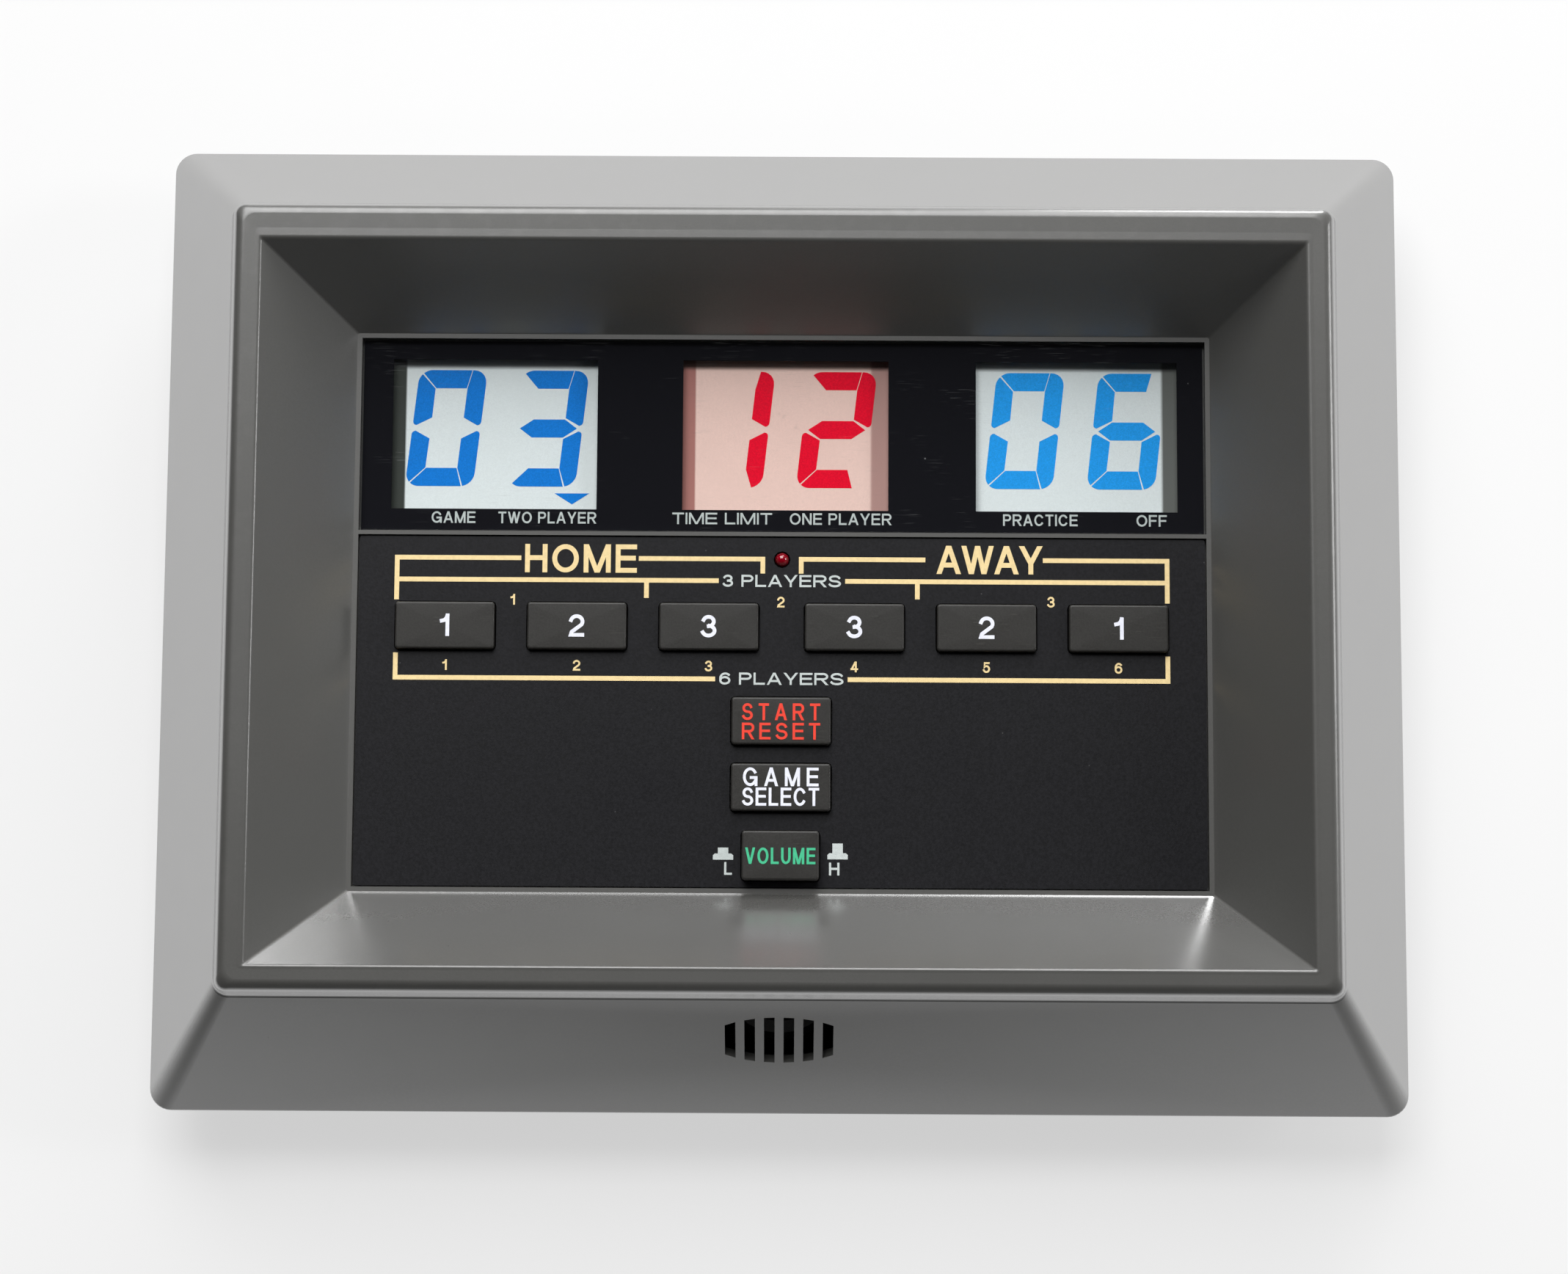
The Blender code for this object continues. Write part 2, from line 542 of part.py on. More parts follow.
def inner_section(runs):
    """Back of one side, inwards: (distance from the face, height, corner radius)."""
    funnel, rim_top, rim_side, slope = runs
    ridge_one = funnel + rim_top
    foot = ridge_one + rim_side
    outline = foot + slope
    slope_offset = wall_offset(slope, SLOPE_DROP)
    funnel_offset = wall_offset(funnel, RIM_Z - LEDGE_Z)
    cavity_z = RIM_Z - WALL - RIM_HOLLOW
    shoulder = foot + slope * WALL / SLOPE_DROP - slope_offset
    grade = funnel / (RIM_Z - LEDGE_Z)
    lip_corner = OUTLINE_CORNER - WALL
    return [
        (outline - WALL, LIP_BOTTOM_Z, lip_corner),
        (outline - slope_offset, LIP_Z, lip_corner),
        (shoulder, FOOT_Z - WALL, INNER_CORNER),
        (ridge_one + 0.1 * RIM_RADIUS, cavity_z, INNER_CORNER),
        (grade * (cavity_z - LEDGE_Z) + funnel_offset, cavity_z, PANEL_CORNER),
        (grade * (FLOOR_BOTTOM_Z - LEDGE_Z) + funnel_offset, FLOOR_BOTTOM_Z, PANEL_CORNER),
    ]


def housing_shell(bm):
    """The housing's moulded tray: the front surface and the back surface in one body."""
    rings = []
    for section in (outer_section, inner_section):
        sides = [section(runs) for runs in (RUNS_SIDE, RUNS_TOP, RUNS_BOTTOM)]
        for (side, z, radius), (top, _, _), (bottom, _, _) in zip(*sides):
            rings.append(housing_ring(side, top, bottom, z, radius))
    add_loft(bm, rings)


def boss_top(run):
    """Height at which a boss under the funnel ends, inside the funnel's wall."""
    rise = RIM_Z - LEDGE_Z
    reach = BOSS_SHARE_OF_FUNNEL * run - BOSS_RADIUS
    outside = LEDGE_Z + reach / run * rise
    inside = LEDGE_Z + (reach - wall_offset(run, rise)) / run * rise
    return (outside + inside) / 2


def button_places():
    """Name, centre, size and height above the face of every push button."""
    size = (BUTTON_WIDTH, BUTTON_HEIGHT)
    places = []
    for i, x in enumerate(reversed(SCORE_XS)):
        places.append((f"home_button_{i + 1}", -x, SCORE_Y, size, BUTTON_PROUD))
    for i, x in enumerate(SCORE_XS):
        places.append((f"away_button_{3 - i}", x, SCORE_Y, size, BUTTON_PROUD))
    places.append(("start_reset_button", 0.0, START_Y, size, BUTTON_PROUD))
    places.append(("select_button", 0.0, SELECT_Y, size, BUTTON_PROUD))
    places.append(("volume_button", 0.0, VOLUME_Y, (VOLUME_WIDTH, VOLUME_HEIGHT), VOLUME_PROUD))
    return places


def add_button_holes(bm, z_low, z_high):
    """Holes for the caps, one clearance larger than each cap."""
    for _, x, y, (width, height), _ in button_places():
        add_prism(
            bm, x - width / 2 - SLIDE_GAP, x + width / 2 + SLIDE_GAP,
            y - height / 2 - SLIDE_GAP, y + height / 2 + SLIDE_GAP,
            z_low, z_high, BUTTON_CORNER + SLIDE_GAP, steps=2,
        )


def aperture_centres():
    return [(i * APERTURE_PITCH, APERTURE_Y) for i in (-1, 0, 1)]


def slope_frame():
    """Point on the lower slope at the middle of the slots, and the slope's tilt about X."""
    tilt = math.atan2(SLOPE_DROP, SLOPE_RUN_BOTTOM)
    foot_y = PANEL_BOTTOM - sum(RUNS_BOTTOM[:3])
    y = foot_y - SLOT_FIELD_DOWN_SLOPE * math.cos(tilt)
    z = FOOT_Z - SLOT_FIELD_DOWN_SLOPE * math.sin(tilt)
    return y, z, tilt


def speaker_slots(builder):
    """Cutter for the slots, whose lengths follow an ellipse."""
    bm = bmesh.new()
    for i in range(SLOT_COUNT):
        x = (i - (SLOT_COUNT - 1) / 2) * SLOT_PITCH
        half = SLOT_FIELD_HALF_LENGTH * math.sqrt(1 - (x / SLOT_FIELD_HALF_WIDTH) ** 2)
        add_prism(
            bm, x - SLOT_WIDTH / 2, x + SLOT_WIDTH / 2, -half, half,
            -2.5 * WALL, WALL, SLOT_WIDTH / 2 * ROUND_END, steps=3,
        )
    tool = builder.tool("speaker_slot_cutter", bm)
    y, z, tilt = slope_frame()
    tool.location = (0, y, z)
    tool.rotation_euler = (tilt, 0, 0)
    return tool


def make_front_bezel(builder):
    bm = bmesh.new()
    housing_shell(bm)
    bezel = builder.piece("front_bezel", bm, "housing")

    bm = bmesh.new()
    for x, y, run in case_screw_places():
        add_cylinder(bm, x, y, POST_TOP_Z + GAP, boss_top(run), BOSS_RADIUS)
    for x, y in BOARD_SCREWS:
        add_cylinder(bm, x, y, BOARD_TOP_Z + GAP, FLOOR_BOTTOM_Z + FUSE, BOARD_BOSS_RADIUS)
    builder.combine(bezel, builder.tool("boss_joiner", bm), "UNION")

    bm = bmesh.new()
    right = POCKET_RIGHT
    add_box(bm, (-right, WINDOW_BOTTOM, WINDOW_POCKET_Z), (right, WINDOW_TOP, RIM_Z))
    add_box(bm, (-right, CONTROL_BOTTOM, CONTROL_POCKET_Z), (right, CONTROL_TOP, RIM_Z))
    builder.combine(bezel, builder.tool("pocket_cutter", bm), "DIFFERENCE")

    bm = bmesh.new()
    low, high = FLOOR_BOTTOM_Z - OVERSHOOT, PANEL_Z
    half_x = APERTURE_WIDTH / 2 + APERTURE_MARGIN
    half_y = APERTURE_HEIGHT / 2 + APERTURE_MARGIN
    for x, y in aperture_centres():
        add_box(bm, (x - half_x, y - half_y, low), (x + half_x, y + half_y, high))
    add_button_holes(bm, low, high)
    add_cylinder(bm, 0, LED_Y, low, high, LED_RADIUS + GAP, SMALL_SEGMENTS)
    for x, y, _ in case_screw_places():
        depth = POST_WEB_Z + CASE_SHANK_LENGTH + GAP
        add_cylinder(bm, x, y, POST_TOP_Z - GAP, depth, CASE_SHANK_RADIUS + GAP, SMALL_SEGMENTS)
    for x, y in BOARD_SCREWS:
        depth = BOARD_BOTTOM_Z + BOARD_SHANK_LENGTH + GAP
        add_cylinder(bm, x, y, BOARD_TOP_Z - GAP, depth, BOARD_SHANK_RADIUS + GAP, SMALL_SEGMENTS)
    builder.combine(bezel, builder.tool("face_hole_cutter", bm), "DIFFERENCE")
    builder.combine(bezel, speaker_slots(builder), "DIFFERENCE")


def make_face_plates(builder):
    """The clear window, the printed mask behind it and the control panel."""
    right = POCKET_RIGHT - GAP
    bm = bmesh.new()
    add_prism(
        bm, -right, right, WINDOW_BOTTOM + GAP, WINDOW_TOP - GAP,
        PANEL_Z - FACE_PLATE, PANEL_Z, PLATE_CORNER, steps=2,
    )
    builder.piece("display_window", bm, "clear_window")

    bm = bmesh.new()
    mask_low = WINDOW_POCKET_Z + GAP
    add_prism(
        bm, -right, right, WINDOW_BOTTOM + GAP, WINDOW_TOP - GAP,
        mask_low, mask_low + MASK_THICKNESS, PLATE_CORNER, steps=2,
    )
    mask = builder.piece("window_mask", bm, "mask_black")
    bm = bmesh.new()
    for x, y in aperture_centres():
        add_box(
            bm, (x - APERTURE_WIDTH / 2, y - APERTURE_HEIGHT / 2, mask_low - GAP),
            (x + APERTURE_WIDTH / 2, y + APERTURE_HEIGHT / 2, PANEL_Z),
        )
    builder.combine(mask, builder.tool("aperture_cutter", bm), "DIFFERENCE")

    bm = bmesh.new()
    add_prism(
        bm, -right, right, CONTROL_BOTTOM + GAP, CONTROL_TOP - GAP,
        PANEL_Z - FACE_PLATE, PANEL_Z, PLATE_CORNER, steps=2,
    )
    panel = builder.piece("control_panel", bm, "panel_charcoal")
    bm = bmesh.new()
    add_button_holes(bm, CONTROL_POCKET_Z, LEDGE_Z)
    add_cylinder(bm, 0, LED_Y, CONTROL_POCKET_Z, LEDGE_Z, LED_RADIUS + GAP, SMALL_SEGMENTS)
    builder.combine(panel, builder.tool("panel_hole_cutter", bm), "DIFFERENCE")


def make_displays(builder):
    """Three glass displays, the frame that holds them and their contact strips."""
    names = ("left", "center", "right")
    strip_y = LCD_LOW_Y + STRIP_WIDTH / 2 + GAP
    strip_half = LCD_WIDTH / 2 - STRIP_END_MARGIN
    for name, (x, _) in zip(names, aperture_centres()):
        bm = bmesh.new()
        half = LCD_WIDTH / 2
        add_box(bm, (x - half, LCD_LOW_Y, LCD_BOTTOM_Z), (x + half, LCD_HIGH_Y, LCD_TOP_Z))
        builder.piece(f"lcd_{name}", bm, "lcd_pink" if name == "center" else "lcd_pale")
        bm = bmesh.new()
        add_box(
            bm, (x - strip_half, strip_y - STRIP_WIDTH / 2, BOARD_TOP_Z + GAP),
            (x + strip_half, strip_y + STRIP_WIDTH / 2, LCD_BOTTOM_Z - GAP),
        )
        builder.piece(f"contact_strip_{name}", bm, "strip_grey")

    frame_right = APERTURE_PITCH + LCD_WIDTH / 2 + FRAME_BORDER
    frame_low, frame_high = LCD_LOW_Y - FRAME_BORDER, LCD_HIGH_Y + FRAME_BORDER / 4
    bm = bmesh.new()
    add_box(
        bm, (-frame_right, frame_low, BOARD_TOP_Z + GAP), (frame_right, frame_high, LCD_BOTTOM_Z - GAP)
    )
    frame = builder.piece("lcd_frame", bm, "frame_white")
    bm = bmesh.new()
    low, high = BOARD_BOTTOM_Z, LCD_TOP_Z
    for x, _ in aperture_centres():
        add_box(
            bm, (x - strip_half - GAP, strip_y - STRIP_WIDTH / 2 - GAP, low),
            (x + strip_half + GAP, strip_y + STRIP_WIDTH / 2 + GAP, high),
        )
        half_x = LCD_WIDTH / 2 - FRAME_BAR
        add_box(
            bm, (x - half_x, strip_y + STRIP_WIDTH / 2 + GAP + FRAME_BAR, low),
            (x + half_x, LCD_HIGH_Y - FRAME_BAR, high),
        )
    builder.combine(frame, builder.tool("frame_cutter", bm), "DIFFERENCE")


def make_cap(builder, name, x, y, size, proud, travel):
    """One button cap with its retaining flange and the stem that works the switch."""
    half_x, half_y = size[0] / 2, size[1] / 2
    top = PANEL_Z + proud
    flange_x, flange_y = half_x + FLANGE_WIDTH, half_y + FLANGE_WIDTH
    edge = BUTTON_EDGE
    sections = (
        (flange_x, flange_y, FLANGE_BOTTOM_Z, BUTTON_CORNER),
        (flange_x, flange_y, FLANGE_TOP_Z, BUTTON_CORNER),
        (half_x, half_y, FLANGE_TOP_Z, BUTTON_CORNER),
        (half_x, half_y, top - edge, BUTTON_CORNER),
        (half_x - 0.3 * edge, half_y - 0.3 * edge, top - 0.3 * edge, BUTTON_CORNER - 0.1 * edge),
        (half_x - edge, half_y - edge, top, BUTTON_CORNER - 0.3 * edge),
    )
    bm = bmesh.new()
    add_loft(bm, [
        ring_points(-sx, sx, -sy, sy, z - PANEL_Z, radius, steps=3) for sx, sy, z, radius in sections
    ])
    cap = builder.piece(name, bm, "button_grey", place=(x, y, PANEL_Z))
    bm = bmesh.new()
    stem_end = switch_top(travel) - STEM_ENGAGEMENT
    stem_root = FLANGE_BOTTOM_Z + FLANGE_THICKNESS / 2
    add_cylinder(bm, x, y, stem_end, stem_root, STEM_RADIUS, SMALL_SEGMENTS)
    builder.combine(cap, builder.tool(f"{name}_stem", bm), "UNION")


def switch_top(travel):
    """Height of a switch's top, which the flange still clears at full travel."""
    return FLANGE_BOTTOM_Z - travel - GAP


def make_switch(builder, name, x, y, size, travel):
    """Switch body on the board, with the well that the stem is pressed into."""
    top = switch_top(travel)
    well_floor = top - STEM_ENGAGEMENT - travel - GAP
    half = size / 2
    bm = bmesh.new()
    add_box(bm, (x - half, y - half, BOARD_TOP_Z + GAP), (x + half, y + half, top))
    switch = builder.piece(name, bm, "switch_black")
    bm = bmesh.new()
    well = STEM_RADIUS + SLIDE_GAP
    add_cylinder(bm, x, y, well_floor, top + OVERSHOOT, well, SMALL_SEGMENTS)
    builder.combine(switch, builder.tool(f"{name}_well", bm), "DIFFERENCE")


def make_buttons(builder):
    for name, x, y, size, proud in button_places():
        is_volume = name == "volume_button"
        travel = VOLUME_TRAVEL if is_volume else BUTTON_TRAVEL
        make_cap(builder, name, x, y, size, proud, travel)
        switch_size = VOLUME_SWITCH_SIZE if is_volume else SWITCH_SIZE
        make_switch(builder, name.replace("button", "switch"), x, y, switch_size, travel)


def make_board(builder):
    """T-shaped circuit board behind the displays and the buttons, and its processor."""
    bm = bmesh.new()
    add_box(
        bm, (-BOARD_HALF_WIDTH, BOARD_LOWER_Y, BOARD_BOTTOM_Z),
        (BOARD_HALF_WIDTH, BOARD_TOP_Y, BOARD_TOP_Z),
    )
    board = builder.piece("main_board", bm, "board_green")
    bm = bmesh.new()
    add_box(
        bm, (-TONGUE_HALF_WIDTH, TONGUE_END_Y, BOARD_BOTTOM_Z),
        (TONGUE_HALF_WIDTH, BOARD_LOWER_Y + FUSE, BOARD_TOP_Z),
    )
    builder.combine(board, builder.tool("board_tongue", bm), "UNION")
    bm = bmesh.new()
    low, high = BOARD_BOTTOM_Z - OVERSHOOT, BOARD_TOP_Z + OVERSHOOT
    for x, y in BOARD_SCREWS:
        add_cylinder(bm, x, y, low, high, BOARD_SHANK_RADIUS + GAP, SMALL_SEGMENTS)
    builder.combine(board, builder.tool("board_hole_cutter", bm), "DIFFERENCE")

    bm = bmesh.new()
    chip_y = SCORE_Y + CHIP_ABOVE_BUTTONS
    half = CHIP_SIZE / 2
    add_prism(
        bm, CHIP_X - half, CHIP_X + half, chip_y - half, chip_y + half,
        BOARD_BOTTOM_Z - GAP - CHIP_HEIGHT, BOARD_BOTTOM_Z - GAP, CHIP_CORNER, steps=1,
    )
    builder.piece("controller_chip", bm, "chip_black")


def turned(bm, profile, x, y, segments=ROUND_SEGMENTS):
    """Add a solid of revolution through (radius, z) points, from its top to its bottom."""
    levels = []
    for radius, z in profile:
        levels.append([
            (x + radius * math.cos(2 * math.pi * i / segments),
             y + radius * math.sin(2 * math.pi * i / segments), z)
            for i in range(segments)
        ])
    add_loft(bm, levels)


def make_led(builder):
    """Status lamp: a domed body with a flange, on two legs."""
    dome_base = PANEL_Z + LED_PROUD - LED_RADIUS
    profile = [
        (LED_FLANGE_RADIUS, FLANGE_TOP_Z - LED_FLANGE_HEIGHT),
        (LED_FLANGE_RADIUS, FLANGE_TOP_Z),
        (LED_RADIUS, FLANGE_TOP_Z),
    ]
    for degrees in (0, 25, 50, 75):
        angle = math.radians(degrees)
        profile.append((LED_RADIUS * math.cos(angle), dome_base + LED_RADIUS * math.sin(angle)))
    bm = bmesh.new()
    turned(bm, profile, 0, LED_Y, SMALL_SEGMENTS)
    led = builder.piece("status_led", bm, "led_red")
    bm = bmesh.new()
    for sign in (-1, 1):
        add_cylinder(
            bm, sign * LED_LEG_SPACING, LED_Y, BOARD_TOP_Z + GAP,
            FLANGE_TOP_Z - LED_FLANGE_HEIGHT / 2, LED_LEG_RADIUS, LEG_SEGMENTS,
        )
    builder.combine(led, builder.tool("led_legs", bm), "UNION")


def tongue_reach(half, slope):
    """Half size of the cover's tongue, whose tip lies one gap inside the housing's slope."""
    return half - wall_offset(slope, SLOPE_DROP) - slope * TONGUE_RISE / SLOPE_DROP - GAP


def pan_rings():
    """Half sizes and height of each ring of the pan, up its outside and down its inside."""
    flange_x, flange_y = HALF_WIDTH - COVER_INSET, HALF_HEIGHT - COVER_INSET
    tongue_x = tongue_reach(HALF_WIDTH, SLOPE_RUN_SIDE)
    tongue_y = tongue_reach(HALF_HEIGHT, SLOPE_RUN_BOTTOM)
    tongue_z = LIP_BOTTOM_Z + TONGUE_RISE
    inner_x, inner_y = PLATE_HALF_WIDTH - COVER_WALL, PLATE_HALF_HEIGHT - COVER_WALL
    return [
        (PLATE_HALF_WIDTH - PAN_EDGE, PLATE_HALF_HEIGHT - PAN_EDGE, COVER_BOTTOM_Z),
        (PLATE_HALF_WIDTH, PLATE_HALF_HEIGHT, COVER_BOTTOM_Z + PAN_EDGE),
        (PAN_HALF_WIDTH, PAN_HALF_HEIGHT, COVER_FLANGE_BOTTOM_Z),
        (flange_x, flange_y, COVER_FLANGE_BOTTOM_Z),
        (flange_x, flange_y, COVER_FLANGE_TOP_Z),
        (tongue_x, tongue_y, COVER_FLANGE_TOP_Z),
        (tongue_x, tongue_y, tongue_z),
        (tongue_x - TONGUE_WALL, tongue_y - TONGUE_WALL, tongue_z),
        (PAN_HALF_WIDTH - COVER_WALL, PAN_HALF_HEIGHT - COVER_WALL, COVER_FLANGE_TOP_Z),
        (inner_x, inner_y, COVER_FLOOR_Z + PAN_FILLET),
        (inner_x - PAN_FILLET, inner_y - PAN_FILLET, COVER_FLOOR_Z),
    ]


def cover_additions():
    """Screw posts, the speaker's ring and the battery bay, all still solid."""
    sunk = COVER_FLOOR_Z - FUSE
    bm = bmesh.new()
    for x, y, _ in case_screw_places():
        add_cylinder(bm, x, y, sunk, POST_TOP_Z, POST_RADIUS)
    ring = SPEAKER_RADIUS + SPEAKER_RING_WALL
    add_cylinder(bm, 0, SPEAKER_Y, sunk, SPEAKER_RING_TOP, ring)
    add_box(
        bm, (BAY_LEFT_X - BAY_WALL, BAY_LOW_Y - BAY_WALL, sunk),
        (BAY_RIGHT_X + BAY_WALL, BAY_HIGH_Y + BAY_WALL, BAY_TOP_Z),
    )
    return bm


def cover_bores():
    """Screw counterbores, the hollows of ring and bay, foot seats and wide keyhole ends."""
    below = COVER_BOTTOM_Z - OVERSHOOT
    bm = bmesh.new()
    for x, y, _ in case_screw_places():
        add_cylinder(bm, x, y, below, POST_WEB_Z, POST_BORE_RADIUS)
    ring = SPEAKER_RADIUS - SPEAKER_RING_WALL
    add_cylinder(bm, 0, SPEAKER_Y, COVER_FLOOR_Z, SPEAKER_RING_TOP + OVERSHOOT, ring)
    foot_seat_z = COVER_BOTTOM_Z + RUBBER_FOOT_SINK + GAP
    for x, y in rubber_foot_places():
        add_cylinder(bm, x, y, below, foot_seat_z, RUBBER_FOOT_RADIUS + GAP)
    add_box(bm, (BAY_LEFT_X, BAY_LOW_Y, below), (BAY_RIGHT_X, BAY_HIGH_Y, BAY_ROOF_Z))
    for sign in (-1, 1):
        above = COVER_FLOOR_Z + OVERSHOOT
        add_cylinder(bm, sign * KEYHOLE_X, keyhole_y(), below, above, KEYHOLE_RADIUS)
    return bm


def cover_through_holes():
    """Shank holes, the door's mouth in the bottom edge and the keyholes' necks."""
    below, above = COVER_BOTTOM_Z - OVERSHOOT, COVER_FLOOR_Z + OVERSHOOT
    shank = CASE_SHANK_RADIUS + GAP
    bm = bmesh.new()
    for x, y, _ in case_screw_places():
        add_cylinder(bm, x, y, POST_WEB_Z - OVERSHOOT, POST_TOP_Z + OVERSHOOT, shank, SMALL_SEGMENTS)
    add_box(
        bm, (BAY_LEFT_X, -PLATE_HALF_HEIGHT - OVERSHOOT, below),
        (BAY_RIGHT_X, BAY_LOW_Y + OVERSHOOT, COVER_FLOOR_Z),
    )
    neck = KEYHOLE_NECK_RADIUS
    for sign in (-1, 1):
        x = sign * KEYHOLE_X
        add_prism(
            bm, x - neck, x + neck, keyhole_y(), keyhole_y() + KEYHOLE_LENGTH + neck,
            below, above, neck * ROUND_END, steps=3,
        )
    return bm


def door_track_and_wire_holes():
    """Grooves for the door's tongues, the tab's slot and the battery lead's hole."""
    bm = bmesh.new()
    tongue = DOOR_TONGUE + SLIDE_GAP
    add_box(
        bm, (BAY_LEFT_X - tongue, -PLATE_HALF_HEIGHT - OVERSHOOT, COVER_FLOOR_Z),
        (BAY_RIGHT_X + tongue, BAY_HIGH_Y, DOOR_TOP_Z + GAP),
    )
    half = CONTACT_TAB_WIDTH / 2 + GAP
    tab_z = BOARD_TOP_Z + GAP
    add_box(
        bm, (BAY_LEFT_X - BAY_WALL - OVERSHOOT, tab_y() - half, tab_z - GAP),
        (BAY_LEFT_X + OVERSHOOT, tab_y() + half, tab_z + CONTACT_THICKNESS + GAP),
    )
    add_cylinder_along_x(
        bm, BAY_RIGHT_X - OVERSHOOT, BAY_RIGHT_X + BAY_WALL + OVERSHOOT, cell_y(0), CELL_Z,
        LEAD_RADIUS + GAP,
    )
    return bm


def make_rear_cover(builder):
    """Shallow pan with screw posts, a speaker ring, a battery bay and keyholes."""
    bm = bmesh.new()
    add_loft(bm, [ring_points(-x, x, -y, y, z, OUTLINE_CORNER) for x, y, z in pan_rings()])
    cover = builder.piece("rear_cover", bm, "rear_housing")
    builder.combine(cover, builder.tool("cover_joiner", cover_additions()), "UNION")
    builder.combine(cover, builder.tool("cover_bore_cutter", cover_bores()), "DIFFERENCE")
    builder.combine(cover, builder.tool("cover_hole_cutter", cover_through_holes()), "DIFFERENCE")
    track = builder.tool("door_track_cutter", door_track_and_wire_holes())
    builder.combine(cover, track, "DIFFERENCE")


def keyhole_y():
    """Height on the back of the wide end of each keyhole."""
    return PLATE_HALF_HEIGHT - KEYHOLE_BELOW_EDGE


def rubber_foot_places():
    x, y = PLATE_HALF_WIDTH - RUBBER_FOOT_INSET, PLATE_HALF_HEIGHT - RUBBER_FOOT_INSET
    return [(sx * x, sy * y) for sx in (-1, 1) for sy in (-1, 1)]


def cell_y(i):
    """Centre of a cell, counted from the bottom edge of the housing."""
    return BAY_LOW_Y + CELL_SPACING + CELL_RADIUS + i * CELL_STEP


def tab_y():
    """Centre of the contact tab that reaches from the bay to the board's tongue."""
    return cell_y(CELL_COUNT - 1)


def add_cylinder_along_x(bm, x_low, x_high, y, z, radius, segments=SMALL_SEGMENTS, end_radius=None):
    """Add a closed cylinder, or a cone when the end radius differs, lying along X."""
    verts = add_cylinder(bm, 0, 0, x_low, x_high, radius, segments, end_radius)
    for vert in verts:
        vert.co = Vector((vert.co.z, vert.co.y + y, z - vert.co.x))


def make_battery_door(builder):
    """Door that slides out along the housing's bottom edge, with tongues in side grooves."""
    left, right = BAY_LEFT_X + SLIDE_GAP, BAY_RIGHT_X - SLIDE_GAP
    high = BAY_HIGH_Y - SLIDE_GAP
    low = -PLATE_HALF_HEIGHT + PAN_EDGE
    centre = ((left + right) / 2, (low + high) / 2, COVER_BOTTOM_Z)
    bm = bmesh.new()
    add_box(bm, (left, low, COVER_BOTTOM_Z), (right, high, DOOR_TOP_Z))
    bmesh.ops.translate(bm, vec=-Vector(centre), verts=bm.verts)
    door = builder.piece("battery_door", bm, "rear_housing", place=centre)

    bm = bmesh.new()
    add_box(
        bm, (left - DOOR_TONGUE, low, DOOR_TOP_Z - DOOR_TONGUE_THICKNESS),
        (right + DOOR_TONGUE, high, DOOR_TOP_Z),
    )
    builder.combine(door, builder.tool("door_tongues", bm), "UNION")

    bm = bmesh.new()
    for i in range(DOOR_GRIP_COUNT):
        y = low + (3 + 2 * i) * DOOR_GRIP_WIDTH
        add_box(
            bm, (centre[0] - DOOR_GRIP_LENGTH / 2, y, COVER_BOTTOM_Z - OVERSHOOT),
            (centre[0] + DOOR_GRIP_LENGTH / 2, y + DOOR_GRIP_WIDTH, COVER_BOTTOM_Z + DOOR_GRIP_DEPTH),
        )
    builder.combine(door, builder.tool("door_grip_cutter", bm), "DIFFERENCE")


def make_cells(builder):
    """Round cells lying side by side, each turned end for end to the next."""
    for i in range(CELL_COUNT):
        y = cell_y(i)
        sign = 1 if i % 2 == 0 else -1
        start = BAY_LEFT_X if sign > 0 else BAY_RIGHT_X
        base = start + sign * (GAP + CONTACT_THICKNESS + SPRING_LENGTH + GAP)
        nub = base + sign * CELL_LENGTH
        tip = nub + sign * CELL_NUB_HEIGHT
        shoulder = CELL_RADIUS - CELL_CHAMFER
        profile = [
            (shoulder, base), (CELL_RADIUS, base + sign * CELL_CHAMFER),
            (CELL_RADIUS, nub - sign * CELL_CHAMFER), (shoulder, nub),
            (CELL_NUB_RADIUS, nub), (CELL_NUB_RADIUS, tip),
        ]
        bm = bmesh.new()
        turned(bm, profile, 0, 0, CELL_SEGMENTS)
        for vert in bm.verts:
            vert.co = Vector((vert.co.z, vert.co.y + y, CELL_Z - vert.co.x))
        bmesh.ops.recalc_face_normals(bm, faces=bm.faces)
        builder.piece(f"battery_cell_{i + 1}", bm, "cell_wrap")


def contact_rows():
    """Contact plates as (name, side, cells joined): two end plates and two links in series."""
    return (
        ("contact_right_outer", 1, (0,)),
        ("contact_left_outer", -1, (0, 1)),
        ("contact_right_inner", 1, (1, 2)),
        ("contact_left_inner", -1, (2,)),
    )


def spring_points(face, side, y):
    """Centre line of a coned coil spring that stands on a contact plate."""
    count = SPRING_TURNS * SPRING_POINTS_PER_TURN
    root = face + side * CONTACT_THICKNESS / 2
    reach = CONTACT_THICKNESS / 2 + SPRING_LENGTH - SPRING_WIRE_RADIUS
    points = []
    for i in range(count + 1):
        share = i / count
        angle = 2 * math.pi * i / SPRING_POINTS_PER_TURN
        radius = SPRING_BASE_RADIUS + (SPRING_TIP_RADIUS - SPRING_BASE_RADIUS) * share
        points.append((
            root - side * reach * share, y + radius * math.cos(angle), CELL_Z + radius * math.sin(angle)
        ))
    return points


def least_turn_gap(points):
    """Smallest clear distance between neighbouring turns of a coil."""
    centres = [Vector(point) for point in points]
    apart = SPRING_POINTS_PER_TURN - 1
    nearest = min(
        (centres[i] - centres[j]).length
        for i in range(len(centres)) for j in range(i + apart, len(centres))
    )
    return nearest - 2 * SPRING_WIRE_RADIUS


